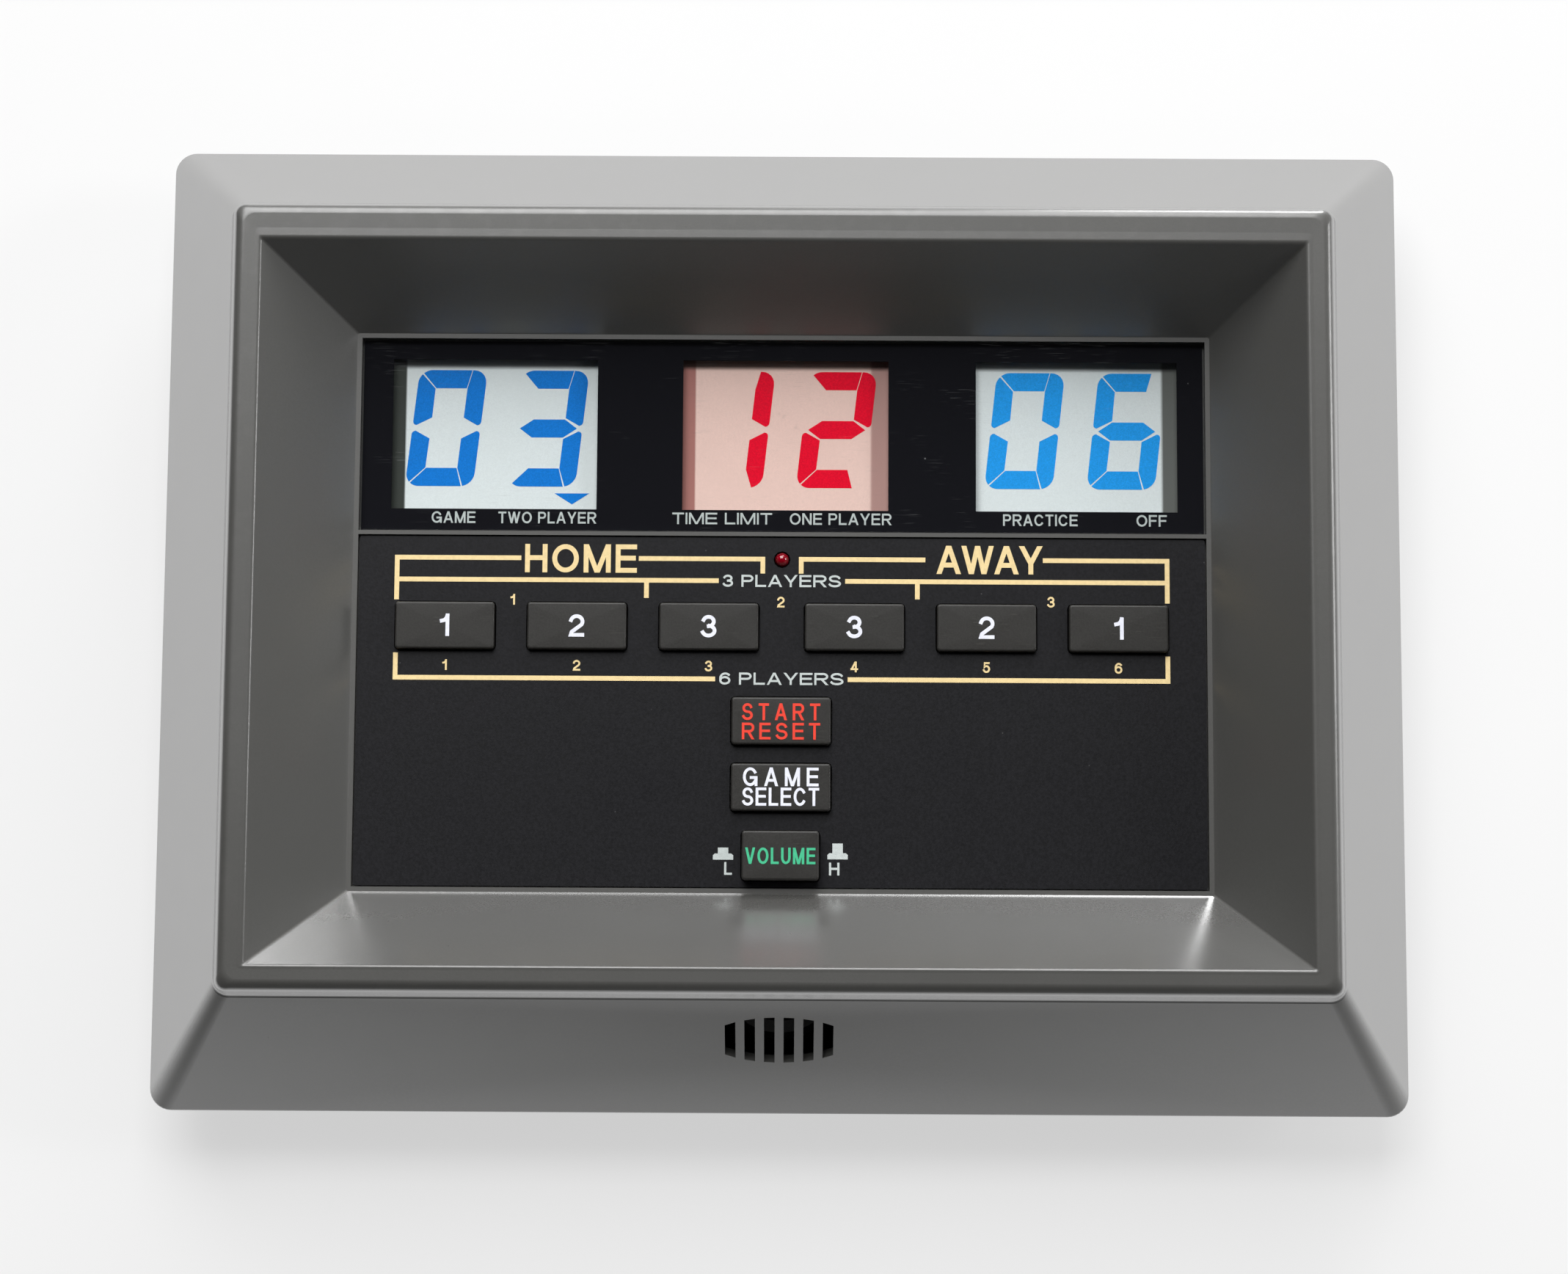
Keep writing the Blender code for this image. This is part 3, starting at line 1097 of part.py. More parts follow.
def add_spring(builder, plate, face, side, y, name):
    """Join a coned coil spring to a contact plate."""
    points = spring_points(face, side, y)
    gap = least_turn_gap(points)
    print(f"{name}: least gap between turns {gap / MM:.2f} mm")
    if gap < SPRING_LEAST_GAP:
        print(f"{name}: the turns lie closer than {SPRING_LEAST_GAP / MM:.2f} mm")
    tool = builder.tool_from_curve(name, tube_curve(name, points, SPRING_WIRE_RADIUS, 1))
    builder.combine(plate, tool, "UNION")


def make_contacts(builder):
    """Contact plates: a coned spring under each flat cell end, a dimple at each nub."""
    for name, side, cells in contact_rows():
        wall = BAY_LEFT_X + GAP if side < 0 else BAY_RIGHT_X - GAP
        face = wall - side * CONTACT_THICKNESS
        low_y = cell_y(cells[0]) - CONTACT_WIDTH / 2
        high_y = cell_y(cells[-1]) + CONTACT_WIDTH / 2
        bm = bmesh.new()
        add_box(
            bm, (min(wall, face), low_y, CELL_Z - CONTACT_HEIGHT / 2),
            (max(wall, face), high_y, CELL_Z + CONTACT_HEIGHT / 2),
        )
        plate = builder.piece(name, bm, "spring_metal")
        for i in cells:
            flat_end_side = -1 if i % 2 == 0 else 1
            if flat_end_side == side:
                add_spring(builder, plate, face, side, cell_y(i), f"{name}_spring_{i + 1}")
                continue
            start, end = sorted(((wall + face) / 2, face - side * CONTACT_DIMPLE))
            bm = bmesh.new()
            add_cylinder_along_x(bm, start, end, cell_y(i), CELL_Z, CELL_NUB_RADIUS)
            builder.combine(plate, builder.tool(f"{name}_dimple_{i + 1}", bm), "UNION")
        if side < 0 and CELL_COUNT - 1 in cells:
            bm = bmesh.new()
            half = CONTACT_TAB_WIDTH / 2
            tab_z = BOARD_TOP_Z + GAP
            add_box(
                bm, (TONGUE_HALF_WIDTH - CONTACT_TAB_OVERLAP, tab_y() - half, tab_z),
                (wall + CONTACT_THICKNESS / 2, tab_y() + half, tab_z + CONTACT_THICKNESS),
            )
            builder.combine(plate, builder.tool(f"{name}_tab", bm), "UNION")


def make_speaker(builder):
    """Small round speaker facing up: basket, cone and magnet."""
    rim_low, rim_high = SPEAKER_RIM_Z, SPEAKER_RIM_Z + SPEAKER_RIM
    neck_z = rim_low - SPEAKER_BASKET_DEPTH
    throat = MAGNET_RADIUS - SPEAKER_SHEET
    inner = SPEAKER_RADIUS - SPEAKER_RING_WALL - GAP
    basket = [
        (SPEAKER_RADIUS, rim_high), (SPEAKER_RADIUS, rim_low), (inner, rim_low),
        (MAGNET_RADIUS, neck_z), (throat - SPEAKER_SHEET, neck_z),
        (throat - SPEAKER_SHEET, neck_z + SPEAKER_SHEET), (throat, neck_z + SPEAKER_SHEET),
        (inner - SPEAKER_SHEET, rim_low + SPEAKER_SHEET / 2), (inner - SPEAKER_SHEET, rim_high),
    ]
    bm = bmesh.new()
    turned_ring(bm, basket, 0, SPEAKER_Y)
    builder.piece("speaker_frame", bm, "speaker_metal")

    cone_outer = inner - SPEAKER_SHEET - GAP
    coil_z = neck_z + 2 * SPEAKER_SHEET
    cap_z = coil_z + SPEAKER_PAPER
    cone = [
        (0.35 * DUST_CAP_RADIUS, cap_z + DUST_CAP_HEIGHT),
        (0.75 * DUST_CAP_RADIUS, cap_z + 0.7 * DUST_CAP_HEIGHT),
        (DUST_CAP_RADIUS, cap_z),
        (cone_outer, rim_high - GAP),
        (cone_outer, rim_high - GAP - SPEAKER_PAPER),
        (DUST_CAP_RADIUS, coil_z),
        (0.35 * DUST_CAP_RADIUS, coil_z),
    ]
    bm = bmesh.new()
    turned(bm, cone, 0, SPEAKER_Y)
    builder.piece("speaker_cone", bm, "speaker_cone")

    bm = bmesh.new()
    add_cylinder(bm, 0, SPEAKER_Y, neck_z - GAP - MAGNET_HEIGHT, neck_z - GAP, MAGNET_RADIUS)
    builder.piece("speaker_magnet", bm, "magnet_grey")


def turned_ring(bm, profile, x, y, segments=ROUND_SEGMENTS):
    """Add a ring of revolution whose closed section goes through (radius, z) points."""
    levels = []
    for radius, z in profile:
        levels.append([
            bm.verts.new((x + radius * math.cos(2 * math.pi * i / segments),
                          y + radius * math.sin(2 * math.pi * i / segments), z))
            for i in range(segments)
        ])
    faces = []
    for lower, upper in zip(levels, levels[1:] + levels[:1]):
        for i in range(segments):
            j = (i + 1) % segments
            faces.append(bm.faces.new((lower[i], lower[j], upper[j], upper[i])))
    bmesh.ops.recalc_face_normals(bm, faces=faces)


def make_screw(builder, name, x, y, under_head_z, head, shank):
    """Pan-head screw driven upwards: head below with a straight slot, shank above."""
    head_radius, head_height = head
    shank_radius, shank_length = shank
    profile = [
        (head_radius * 0.7, under_head_z - head_height),
        (head_radius, under_head_z - head_height * 0.6),
        (head_radius, under_head_z),
        (shank_radius, under_head_z),
        (shank_radius, under_head_z + shank_length - shank_radius),
        (shank_radius * 0.3, under_head_z + shank_length),
    ]
    bm = bmesh.new()
    turned(bm, profile, x, y, SMALL_SEGMENTS)
    screw = builder.piece(name, bm, "screw_zinc")
    bm = bmesh.new()
    low = under_head_z - head_height
    add_box(
        bm, (x - head_radius - OVERSHOOT, y - SCREW_SLOT_WIDTH / 2, low - OVERSHOOT),
        (x + head_radius + OVERSHOOT, y + SCREW_SLOT_WIDTH / 2, low + SCREW_SLOT_DEPTH),
    )
    builder.combine(screw, builder.tool(f"{name}_slot", bm), "DIFFERENCE")


def make_screws(builder):
    head = (CASE_HEAD_RADIUS, CASE_HEAD_HEIGHT)
    shank = (CASE_SHANK_RADIUS, CASE_SHANK_LENGTH)
    for i, (x, y, _) in enumerate(case_screw_places()):
        make_screw(builder, f"case_screw_{i + 1}", x, y, POST_WEB_Z - GAP, head, shank)
    head = (BOARD_HEAD_RADIUS, BOARD_HEAD_HEIGHT)
    shank = (BOARD_SHANK_RADIUS, BOARD_SHANK_LENGTH)
    for i, (x, y) in enumerate(BOARD_SCREWS):
        make_screw(builder, f"board_screw_{i + 1}", x, y, BOARD_BOTTOM_Z - GAP, head, shank)


def make_feet(builder):
    for i, (x, y) in enumerate(rubber_foot_places()):
        bm = bmesh.new()
        add_cylinder(bm, x, y, 0, COVER_BOTTOM_Z + RUBBER_FOOT_SINK, RUBBER_FOOT_RADIUS)
        builder.piece(f"rubber_foot_{i + 1}", bm, "foot_rubber")


def tube_curve(name, points, radius, resolution):
    """Round tube with closed ends along a row of points."""
    curve = bpy.data.curves.new(name, "CURVE")
    curve.dimensions = "3D"
    curve.bevel_depth = radius
    curve.bevel_resolution = resolution
    curve.use_fill_caps = True
    spline = curve.splines.new("POLY")
    spline.points.add(len(points) - 1)
    for target, point in zip(spline.points, points):
        target.co = (*point, 1.0)
    return curve


def make_lead(builder, name, points, material):
    """Insulated lead through points placed by hand."""
    curve = tube_curve(name, points, LEAD_RADIUS, 2)
    curve.materials.append(builder.materials[material])
    builder.parts.objects.link(bpy.data.objects.new(name, curve))


def speaker_lead_points():
    """From the speaker's rim over its ring, down beside it and onto the board's tongue."""
    x = SPEAKER_LEAD_X
    ring_radius = SPEAKER_RADIUS + SPEAKER_RING_WALL
    rim_y = SPEAKER_Y + math.sqrt(SPEAKER_RADIUS ** 2 - x ** 2) + GAP
    down_y = SPEAKER_Y + math.sqrt(ring_radius ** 2 - x ** 2) + LEAD_RADIUS + 1.5 * GAP
    end_y = TONGUE_END_Y + LEAD_END_INSET
    rim_z = SPEAKER_RIM_Z + SPEAKER_RIM / 2
    board_z = BOARD_TOP_Z + GAP
    return [
        (x, rim_y, rim_z),
        (x, down_y - LEAD_BEND / 3, rim_z),
        (x, down_y, rim_z - LEAD_BEND / 3),
        (x, down_y, rim_z - 2 * LEAD_BEND),
        (x, (down_y + end_y) / 2, board_z + 2 * LEAD_BEND),
        (x, end_y, board_z + LEAD_BEND),
        (x, end_y, board_z),
    ]


def battery_lead_points():
    """From the far contact through the bay's wall, over its roof and onto the board's tongue."""
    y = cell_y(0)
    out_x = BAY_RIGHT_X + BAY_WALL + LEAD_BEND + GAP
    down_x = BAY_LEFT_X - BAY_WALL - LEAD_BEND - GAP
    over_z = BAY_TOP_Z + LEAD_RADIUS + 2 * GAP
    end_x, end_y = BATTERY_LEAD_END_X, TONGUE_END_Y + LEAD_END_INSET
    board_z = BOARD_TOP_Z + GAP
    points = [
        (BAY_RIGHT_X, y, CELL_Z),
        (out_x - LEAD_BEND, y, CELL_Z),
        (out_x, y, CELL_Z + LEAD_BEND),
        (out_x, y, over_z - LEAD_BEND),
    ]
    over_start, over_end = out_x - LEAD_BEND, down_x + LEAD_BEND
    for share in (0.0, 0.25, 0.5, 0.75, 1.0):
        bow = LEAD_BOW * math.sin(math.pi * share)
        points.append((over_start + (over_end - over_start) * share, y + bow, over_z))
    return points + [
        (down_x, y, over_z - LEAD_BEND),
        (down_x, y + LEAD_BEND, over_z - 2 * LEAD_BEND),
        ((down_x + end_x) / 2, (y + end_y) / 2, board_z + 3 * LEAD_BEND),
        (end_x, end_y - LEAD_BEND, board_z + 2 * LEAD_BEND),
        (end_x, end_y, board_z + LEAD_BEND),
        (end_x, end_y, board_z),
    ]


def make_leads(builder):
    """Leads from the speaker and from the far battery contact to the board."""
    make_lead(builder, "speaker_lead", speaker_lead_points(), "lead_black")
    make_lead(builder, "battery_lead", battery_lead_points(), "lead_red")


def main():
    for obj in list(bpy.data.objects):
        bpy.data.objects.remove(obj)
    builder = Builder()
    make_front_bezel(builder)
    make_rear_cover(builder)
    make_battery_door(builder)
    make_face_plates(builder)
    make_displays(builder)
    make_board(builder)
    make_buttons(builder)
    make_led(builder)
    make_speaker(builder)
    make_cells(builder)
    make_contacts(builder)
    make_screws(builder)
    make_feet(builder)
    make_leads(builder)


main()
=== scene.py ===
"""Electronic scoreboard: its fine surfaces, its finishes and the table it is shown on.

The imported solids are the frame. Each operator makes one piece of the scoreboard, or one group of like
pieces, or gives the solids that stay their finish. Lengths are in metres unless a comment says
millimetres, +X runs to the right of the face, +Y to its top and +Z out of it.
"""

import json
import math

import bmesh
import bpy
import numpy as np
from bpy.props import FloatProperty, FloatVectorProperty, IntProperty, PointerProperty
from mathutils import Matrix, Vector

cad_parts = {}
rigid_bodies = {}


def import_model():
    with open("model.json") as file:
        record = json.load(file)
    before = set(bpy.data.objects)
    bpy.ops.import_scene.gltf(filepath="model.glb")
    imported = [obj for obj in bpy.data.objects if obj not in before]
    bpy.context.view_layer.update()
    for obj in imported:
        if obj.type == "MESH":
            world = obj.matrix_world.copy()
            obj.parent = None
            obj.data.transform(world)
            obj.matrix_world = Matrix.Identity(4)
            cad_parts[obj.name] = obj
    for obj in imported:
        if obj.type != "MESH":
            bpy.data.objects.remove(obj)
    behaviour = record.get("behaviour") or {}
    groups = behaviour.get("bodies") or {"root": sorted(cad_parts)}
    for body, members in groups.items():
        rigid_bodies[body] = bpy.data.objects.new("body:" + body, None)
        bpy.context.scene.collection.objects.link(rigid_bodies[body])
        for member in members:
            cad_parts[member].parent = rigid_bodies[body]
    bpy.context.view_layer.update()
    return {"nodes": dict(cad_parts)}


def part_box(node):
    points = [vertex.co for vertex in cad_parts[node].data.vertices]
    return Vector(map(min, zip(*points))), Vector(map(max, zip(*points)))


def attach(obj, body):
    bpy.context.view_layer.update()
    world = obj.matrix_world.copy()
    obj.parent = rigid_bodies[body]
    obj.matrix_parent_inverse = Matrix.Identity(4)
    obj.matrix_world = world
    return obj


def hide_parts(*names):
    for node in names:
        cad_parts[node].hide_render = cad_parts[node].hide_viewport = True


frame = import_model()

bl_info = {
    "name": "Electronic Scoreboard",
    "version": (1, 0, 0),
    "blender": (4, 5, 0),
    "location": "View3D > Sidebar > Scoreboard",
    "description": "Dresses the scoreboard's solids with fine surfaces, prints and finishes",
    "category": "Object",
}

MM = 0.001

# Clearance, thicknesses and radii that the solids were designed with.
GAP = 0.3 * MM
LEDGE_WIDTH = 1.0 * MM
LEDGE_STEP = 0.4 * MM
FLOOR_THICKNESS = 1.9 * MM
CAP_FLANGE = 1.2 * MM
WALL = 2.2 * MM
CAP_HOLE_CORNER = 1.0 * MM
CAP_STEM_RADIUS = 2.0 * MM
LAMP_RADIUS = 1.5 * MM

# The housing's section, outwards from the face. Each run is given for its sides, top and bottom.
FUNNEL_RUN = np.array([17.8, 15.4, 16.0]) * MM
RIM_TOP_RUN = np.array([3.3, 5.5, 2.5]) * MM
RIM_SIDE_RUN = np.array([3.5, 3.0, 3.9]) * MM
SLOPE_RUN = np.array([16.8, 17.3, 23.7]) * MM
RIM_RUN = FUNNEL_RUN + RIM_TOP_RUN
FOOT_RUN = RIM_RUN + RIM_SIDE_RUN
OUTLINE_RUN = FOOT_RUN + SLOPE_RUN
FOOT_DROP = 4.0 * MM
SLOPE_DROP = 25.0 * MM
LIP_BAND = 1.5 * MM

# Speaker slots in the lower slope, whose ends lie on an ellipse.
SLOT_COUNT = 6
SLOT_PITCH = 4.05 * MM
SLOT_WIDTH = 2.2 * MM
SLOT_FIELD_HALF_WIDTH = 14.734 * MM
SLOT_FIELD_HALF_LENGTH = 6.72 * MM
SLOT_FIELD_DOWN_SLOPE = 12.1 * MM

# Openings in the mask in front of the displays, and the wider ones in the housing's floor.
OPENING_BOTTOM = 24.6 * MM
OPENING_TOP = 57.2 * MM
FLOOR_OPENING_MARGIN = 1.0 * MM
FLOOR_OPENING_HALF = 23.1 * MM

SHELL_LOW, SHELL_HIGH = np.array(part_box("front_bezel"))
PANEL_LOW, PANEL_HIGH = np.array(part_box("control_panel"))
LENS_LOW, LENS_HIGH = np.array(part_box("display_window"))
MASK_LOW, MASK_HIGH = np.array(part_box("window_mask"))
LCD_TOP_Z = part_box("lcd_center")[1][2]
FACE_Z = LENS_HIGH[2]
LEDGE_Z = FACE_Z + LEDGE_STEP
RIM_Z = SHELL_HIGH[2]
FUNNEL_RISE = RIM_Z - LEDGE_Z
FOOT_Z = RIM_Z - FOOT_DROP
LIP_Z = FOOT_Z - SLOPE_DROP
LIP_BOTTOM_Z = LIP_Z - LIP_BAND
FLOOR_BOTTOM_Z = PANEL_LOW[2] - GAP - FLOOR_THICKNESS
FLANGE_TOP_Z = FLOOR_BOTTOM_Z - GAP
FACE_RIGHT = PANEL_HIGH[0] + GAP + LEDGE_WIDTH
FACE_TOP = LENS_HIGH[1] + GAP + LEDGE_WIDTH
FACE_BOTTOM = PANEL_LOW[1] - GAP - LEDGE_WIDTH

SCORE_BUTTONS = [f"home_button_{i}" for i in (1, 2, 3)] + [f"away_button_{i}" for i in (3, 2, 1)]
BUTTONS = SCORE_BUTTONS + ["start_reset_button", "select_button", "volume_button"]


def linear(red, green, blue):
    """Linear colour of an 8-bit one, by the sRGB curve."""
    encoded = np.array([red, green, blue]) / 255
    high = ((encoded + 0.055) / 1.055) ** 2.4
    return tuple(float(value) for value in np.where(encoded <= 0.04045, encoded / 12.92, high))


def number(name, description, value, **limits):
    return FloatProperty(name=name, description=description, default=value, **limits)


def length(name, description, millimetres, **limits):
    return number(name, description, millimetres * MM, unit="LENGTH", precision=5, **limits)


def colour(name, description, value):
    return FloatVectorProperty(
        name=name, description=description, default=value, subtype="COLOR", size=3, min=0, max=1
    )


class ScoreboardShape(bpy.types.PropertyGroup):
    """Sizes of the rounded edges, the caps, the digits and the prints."""

    inner_ridge: length("Inner ridge", "Radius of the ridge round the funnel", 1.1)
    outer_ridge: length("Outer ridge", "Radius of the ridge at the outside of the rim", 2.6)
    rim_hollow: length("Rim hollow", "Depth of the hollow between the two ridges", 0.04)
    foot_blend: length("Foot blend", "Radius where the rim meets the slope", 2.6)
    lip_round: length("Lip round", "Radius where the slope meets the lip", 0.9)
    funnel_corner: length("Funnel corner", "Corner radius of the funnel", 0.5)
    ridge_corner: length("Ridge corner", "Corner radius of the outer ridge", 2.4)
    foot_corner: length("Foot corner", "Corner radius at the foot of the rim", 3.4)
    outline_corner: length("Outline corner", "Corner radius of the outline", 4.6)
    cap_edge: length("Cap edge", "Radius of a button cap's top edge", 0.45)
    cap_corner: length("Cap corner", "Corner radius of a button cap", 0.7)
    cap_crown: length("Cap crown", "Height of a cap's middle over its edge", 0.07)
    digit_height: length("Digit height", "Height of a seven-segment digit", 25.4)
    digit_width: length("Digit width", "Width of a digit before it is slanted", 14.7)
    digit_pitch: length("Digit pitch", "Distance between two digits", 22.0)
    segment_width: length("Segment width", "Width of a digit's segments", 3.98)
    segment_gap: length("Segment gap", "Gap between neighbouring segments", 0.15)
    print_thickness: length("Print thickness", "Thickness of printed ink", 0.03)
    line_width: length("Line width", "Width of the printed bracket lines", 1.0)


class ScoreboardColours(bpy.types.PropertyGroup):
    """Colours of the plastics, the displays and the prints."""

    housing: colour("Housing", "Warm grey plastic", (0.064, 0.0632, 0.0593))
    rear: colour("Rear cover", "Dark grey plastic", (0.052, 0.052, 0.053))
    panel: colour("Control panel", "Charcoal sheet", linear(20, 20, 23))
    mask: colour("Window mask", "Black back print", linear(25, 25, 29))
    cap: colour("Button caps", "Dark warm grey plastic", linear(42, 41, 39))
    cream: colour("Cream print", "Brackets and words", linear(242, 216, 158))
    pale: colour("Pale print", "Captions", linear(198, 206, 204))
    start_text: colour("Start text", "Red label", linear(238, 58, 34))
    select_text: colour("Select text", "White label", linear(236, 238, 250))
    volume_text: colour("Volume text", "Green label", linear(62, 190, 140))
    blue: colour("Blue segments", "Digits of the left display", linear(24, 130, 226))
    # Painted light: the blue of the left display's digits again, lighter, standing in for how light
    # falls on the right display.
    light_blue: colour("Light blue segments", "Digits of the right display", linear(40, 166, 252))
    red: colour("Red segments", "Digits of the middle display", linear(246, 14, 50))
    lcd_pale: colour("Pale display", "Ground of the outer displays", linear(236, 243, 243))
    lcd_pink: colour("Pink display", "Ground of the middle display", linear(248, 214, 203))
    lamp: colour("Status lamp", "Unlit red lamp", linear(128, 0, 20))


class ScoreboardStage(bpy.types.PropertyGroup):
    """The table, the light, the camera and the fineness of round corners."""

    floor: colour("Floor", "Pale table", (0.73, 0.73, 0.73))
    whiteness: number("Whiteness", "Share of plain white in the floor as it is seen", 0.6, min=0, max=1)
    surround: number("Surround", "Strength of the soft light from the horizon", 0.30, min=0, max=5)
    top_lamp: number("Top lamp", "Power of the soft lamp beyond the top edge", 56.0, min=0, unit="POWER")
    low_lamp: number("Low lamp", "Power of the low lamp beyond the top", 15.0, min=0, unit="POWER")
    side_lamp: number("Side lamp", "Power of the weak lamp at the right", 7.0, min=0, unit="POWER")
    lens: number("Lens", "Focal length of the camera", 77.49, min=1, unit="CAMERA")
    floor_reach: length("Floor reach", "Half the width of the table", 3000, min=0.3)
    curve_steps: IntProperty(
        name="Curve steps", description="Steps in each rounded corner", default=8, min=2, max=24
    )


def math_node(operation, swapped=False):
    """Method that adds a Math node. Its values are the signal and the others, or swapped."""
    def method(self, *others):
        values = (*others, self) if swapped else (self, *others)
        return self.shade.node("ShaderNodeMath", enumerate(values), operation=operation)

    return method


class Signal:
    """A shader socket. Arithmetic on it adds Math nodes."""

    def __init__(self, shade, socket):
        self.shade = shade
        self.socket = socket

    __add__ = __radd__ = math_node("ADD")
    __sub__ = math_node("SUBTRACT")
    __rsub__ = math_node("SUBTRACT", swapped=True)
    __mul__ = __rmul__ = math_node("MULTIPLY")
    __abs__ = math_node("ABSOLUTE")
    larger = math_node("MAXIMUM")
    sine = math_node("SINE")
    root = math_node("SQRT")

    def wave(self, period):
        """Sine of the value, from -1 to 1, repeating after one period in millimetres."""
        return (self * (2 * math.pi / (period * MM))).sine()

    def rise(self, low, high):
        """0 below low, 1 above high and smooth between."""
        return self.shade.node(
            "ShaderNodeMapRange", enumerate((self, low, high)), interpolation_type="SMOOTHSTEP"
        )


class Shade:
    """A material or the world being written.

    Sizes of noise, cells, scratches and bumps are in millimetres.
    """

    def __init__(self, name, base=(1, 1, 1), world=False):
        self.owner = (bpy.data.worlds if world else bpy.data.materials).new(name)
        self.owner.use_nodes = True
        self.base = tuple(base)
        self.tree = self.owner.node_tree
        self.tree.nodes.clear()
        self.output = self.tree.nodes.new(f"ShaderNodeOutput{'World' if world else 'Material'}")
        self.place = self.node("ShaderNodeTexCoord", output="Generated" if world else "Object")

    def node(self, kind, sockets=(), output=0, **options):
        """Add a node, its options first and then its sockets, and give one of its outputs."""
        node = self.tree.nodes.new(kind)
        for name, value in options.items():
            setattr(node, name, value)
        for key, value in dict(sockets).items():
            socket = node.inputs[key]
            if isinstance(value, Signal):
                self.tree.links.new(value.socket, socket)
            elif value is not None:
                socket.default_value = (*value, 1.0) if socket.type == "RGBA" else value
        return Signal(self, node.outputs[output])

    def axes(self):
        """The three coordinates."""
        return [self.node("ShaderNodeSeparateXYZ", {0: self.place}, output=i) for i in range(3)]

    def stretched(self, scale, turn=(0, 0, 0), shift=(0, 0, 0)):
        """Object coordinates, moved, turned and scaled."""
        sockets = {"Vector": self.place, "Location": shift, "Rotation": turn, "Scale": scale}
        return self.node("ShaderNodeMapping", sockets)

    def noise(self, size, detail=2.0, roughness=0.5, vector=None, distortion=0.0):
        """Soft noise whose blotches are about size across, mostly from 0.3 to 0.7."""
        return self.node("ShaderNodeTexNoise", {
            "Vector": vector or self.place, "Scale": 1 / (size * MM), "Detail": detail,
            "Roughness": roughness, "Distortion": distortion,
        })

    def cells(self, size, feature="F1"):
        """Distance to scattered points that are about size apart, as a share of size."""
        sockets = {"Vector": self.place, "Scale": 1 / (size * MM)}
        return self.node("ShaderNodeTexVoronoi", sockets, output="Distance", feature=feature)

    def specks(self, size, low, high):
        """Round spots, about size apart, that fade out from low to high shares of size."""
        return 1 - self.cells(size).rise(low, high)

    def scratches(self, width, spacing, angle, rarity, shift=(0, 0, 0)):
        """Thin lines at one angle: noise drawn out along them, kept where it is highest."""
        fine = self.noise(width, 0, vector=self.stretched((0.03, 1, 1), (0, 0, angle), shift))
        wide = self.noise(spacing, 1, vector=self.stretched((1, 1, 1), shift=shift))
        return fine.rise(rarity, rarity + 0.03) * wide.rise(0.55, 0.7)

    def blend(self, factor, first, second):
        """Colour between two, by factor. A number stands for that share of the base colour."""
        first, second = (
            tuple(end * value for value in self.base) if isinstance(end, (int, float)) else end
            for end in (first, second)
        )
        sockets = {0: factor, 6: first, 7: second}
        return self.node("ShaderNodeMix", sockets, output=2, data_type="RGBA")

    def bump(self, height, distance, strength):
        sockets = {"Height": height, "Distance": distance * MM, "Strength": strength}
        return self.node("ShaderNodeBump", sockets)

    def principled(self, color, roughness, normal=None, others=()):
        """Principled shader. Other sockets go by name."""
        sockets = {"Base Color": color, "Roughness": roughness, "Normal": normal, **dict(others)}
        return self.node("ShaderNodeBsdfPrincipled", sockets)

    def finish(self, shader):
        """Join a shader to the output."""
        self.tree.links.new(shader.socket, self.output.inputs["Surface"])
        return self.owner

    def surface(self, *sockets):
        return self.finish(self.principled(*sockets))


def housing_finish(colours):
    """Satin moulded plastic: fine spark-eroded grain, faint blotches and a few rubbed marks.

    Its coat shows where it is seen edge on, and gives the slopes their sheen.
    """
    shade = Shade("housing_plastic", colours.housing)
    _, _, z = shade.axes()
    color = shade.blend(shade.noise(35, 3).rise(0.35, 0.65), 0.965, 1.035)
    color = shade.blend(shade.noise(0.5, 2, 0.6).rise(0.3, 0.7), 0.94, color)
    along = shade.stretched((1, 0.25, 0.6), (0.2, 0.1, 0.1))
    mark = shade.noise(1.6, 1, vector=along).rise(0.79, 0.83)
    mark = mark * shade.noise(26, 0).rise(0.56, 0.64)
    color = shade.blend(mark * 0.7, color, 0.25)
    worn = shade.noise(3, 3).rise(0.45, 0.7) * z.rise(RIM_Z - 1.2 * MM, RIM_Z - 0.2 * MM)
    color = shade.blend(worn * 0.25, color, 1.3)
    roughness = 0.44 + 0.08 * shade.noise(9, 2) - 0.05 * worn + 0.2 * mark
    grain = shade.noise(0.32, 1) + 0.12 * shade.noise(0.9, 0)
    edge_on = shade.node("ShaderNodeLayerWeight", {"Blend": 0.5}, output=1).rise(0.2, 0.6)
    coat = 0.08 + 0.92 * edge_on
    gloss = {"IOR": 1.6, "Coat Weight": coat, "Coat Roughness": 0.2, "Coat IOR": 4.4}
    return shade.surface(color, roughness, shade.bump(grain, 0.012, 0.5), gloss)


def rear_finish(colours):
    """Dark plastic with a coarse spark-eroded texture and dusty scuffs."""
    shade = Shade("rear_plastic", colours.rear)
    texture = shade.cells(0.7)
    fine = shade.noise(0.35, 2)
    dust = shade.noise(18, 4, 0.65).rise(0.5, 0.75)
    scuff = shade.scratches(0.35, 14, 0.5, 0.66)
    color = shade.blend(texture.rise(0.1, 0.7), 0.85, 1.15)
    color = shade.blend(dust * 0.18, color, 2.2)
    color = shade.blend(scuff * 0.35, color, 2.6)
    normal = shade.bump(texture + 0.5 * fine, 0.05, 0.6)
    return shade.surface(color, 0.5 + 0.12 * fine - 0.08 * scuff, normal)


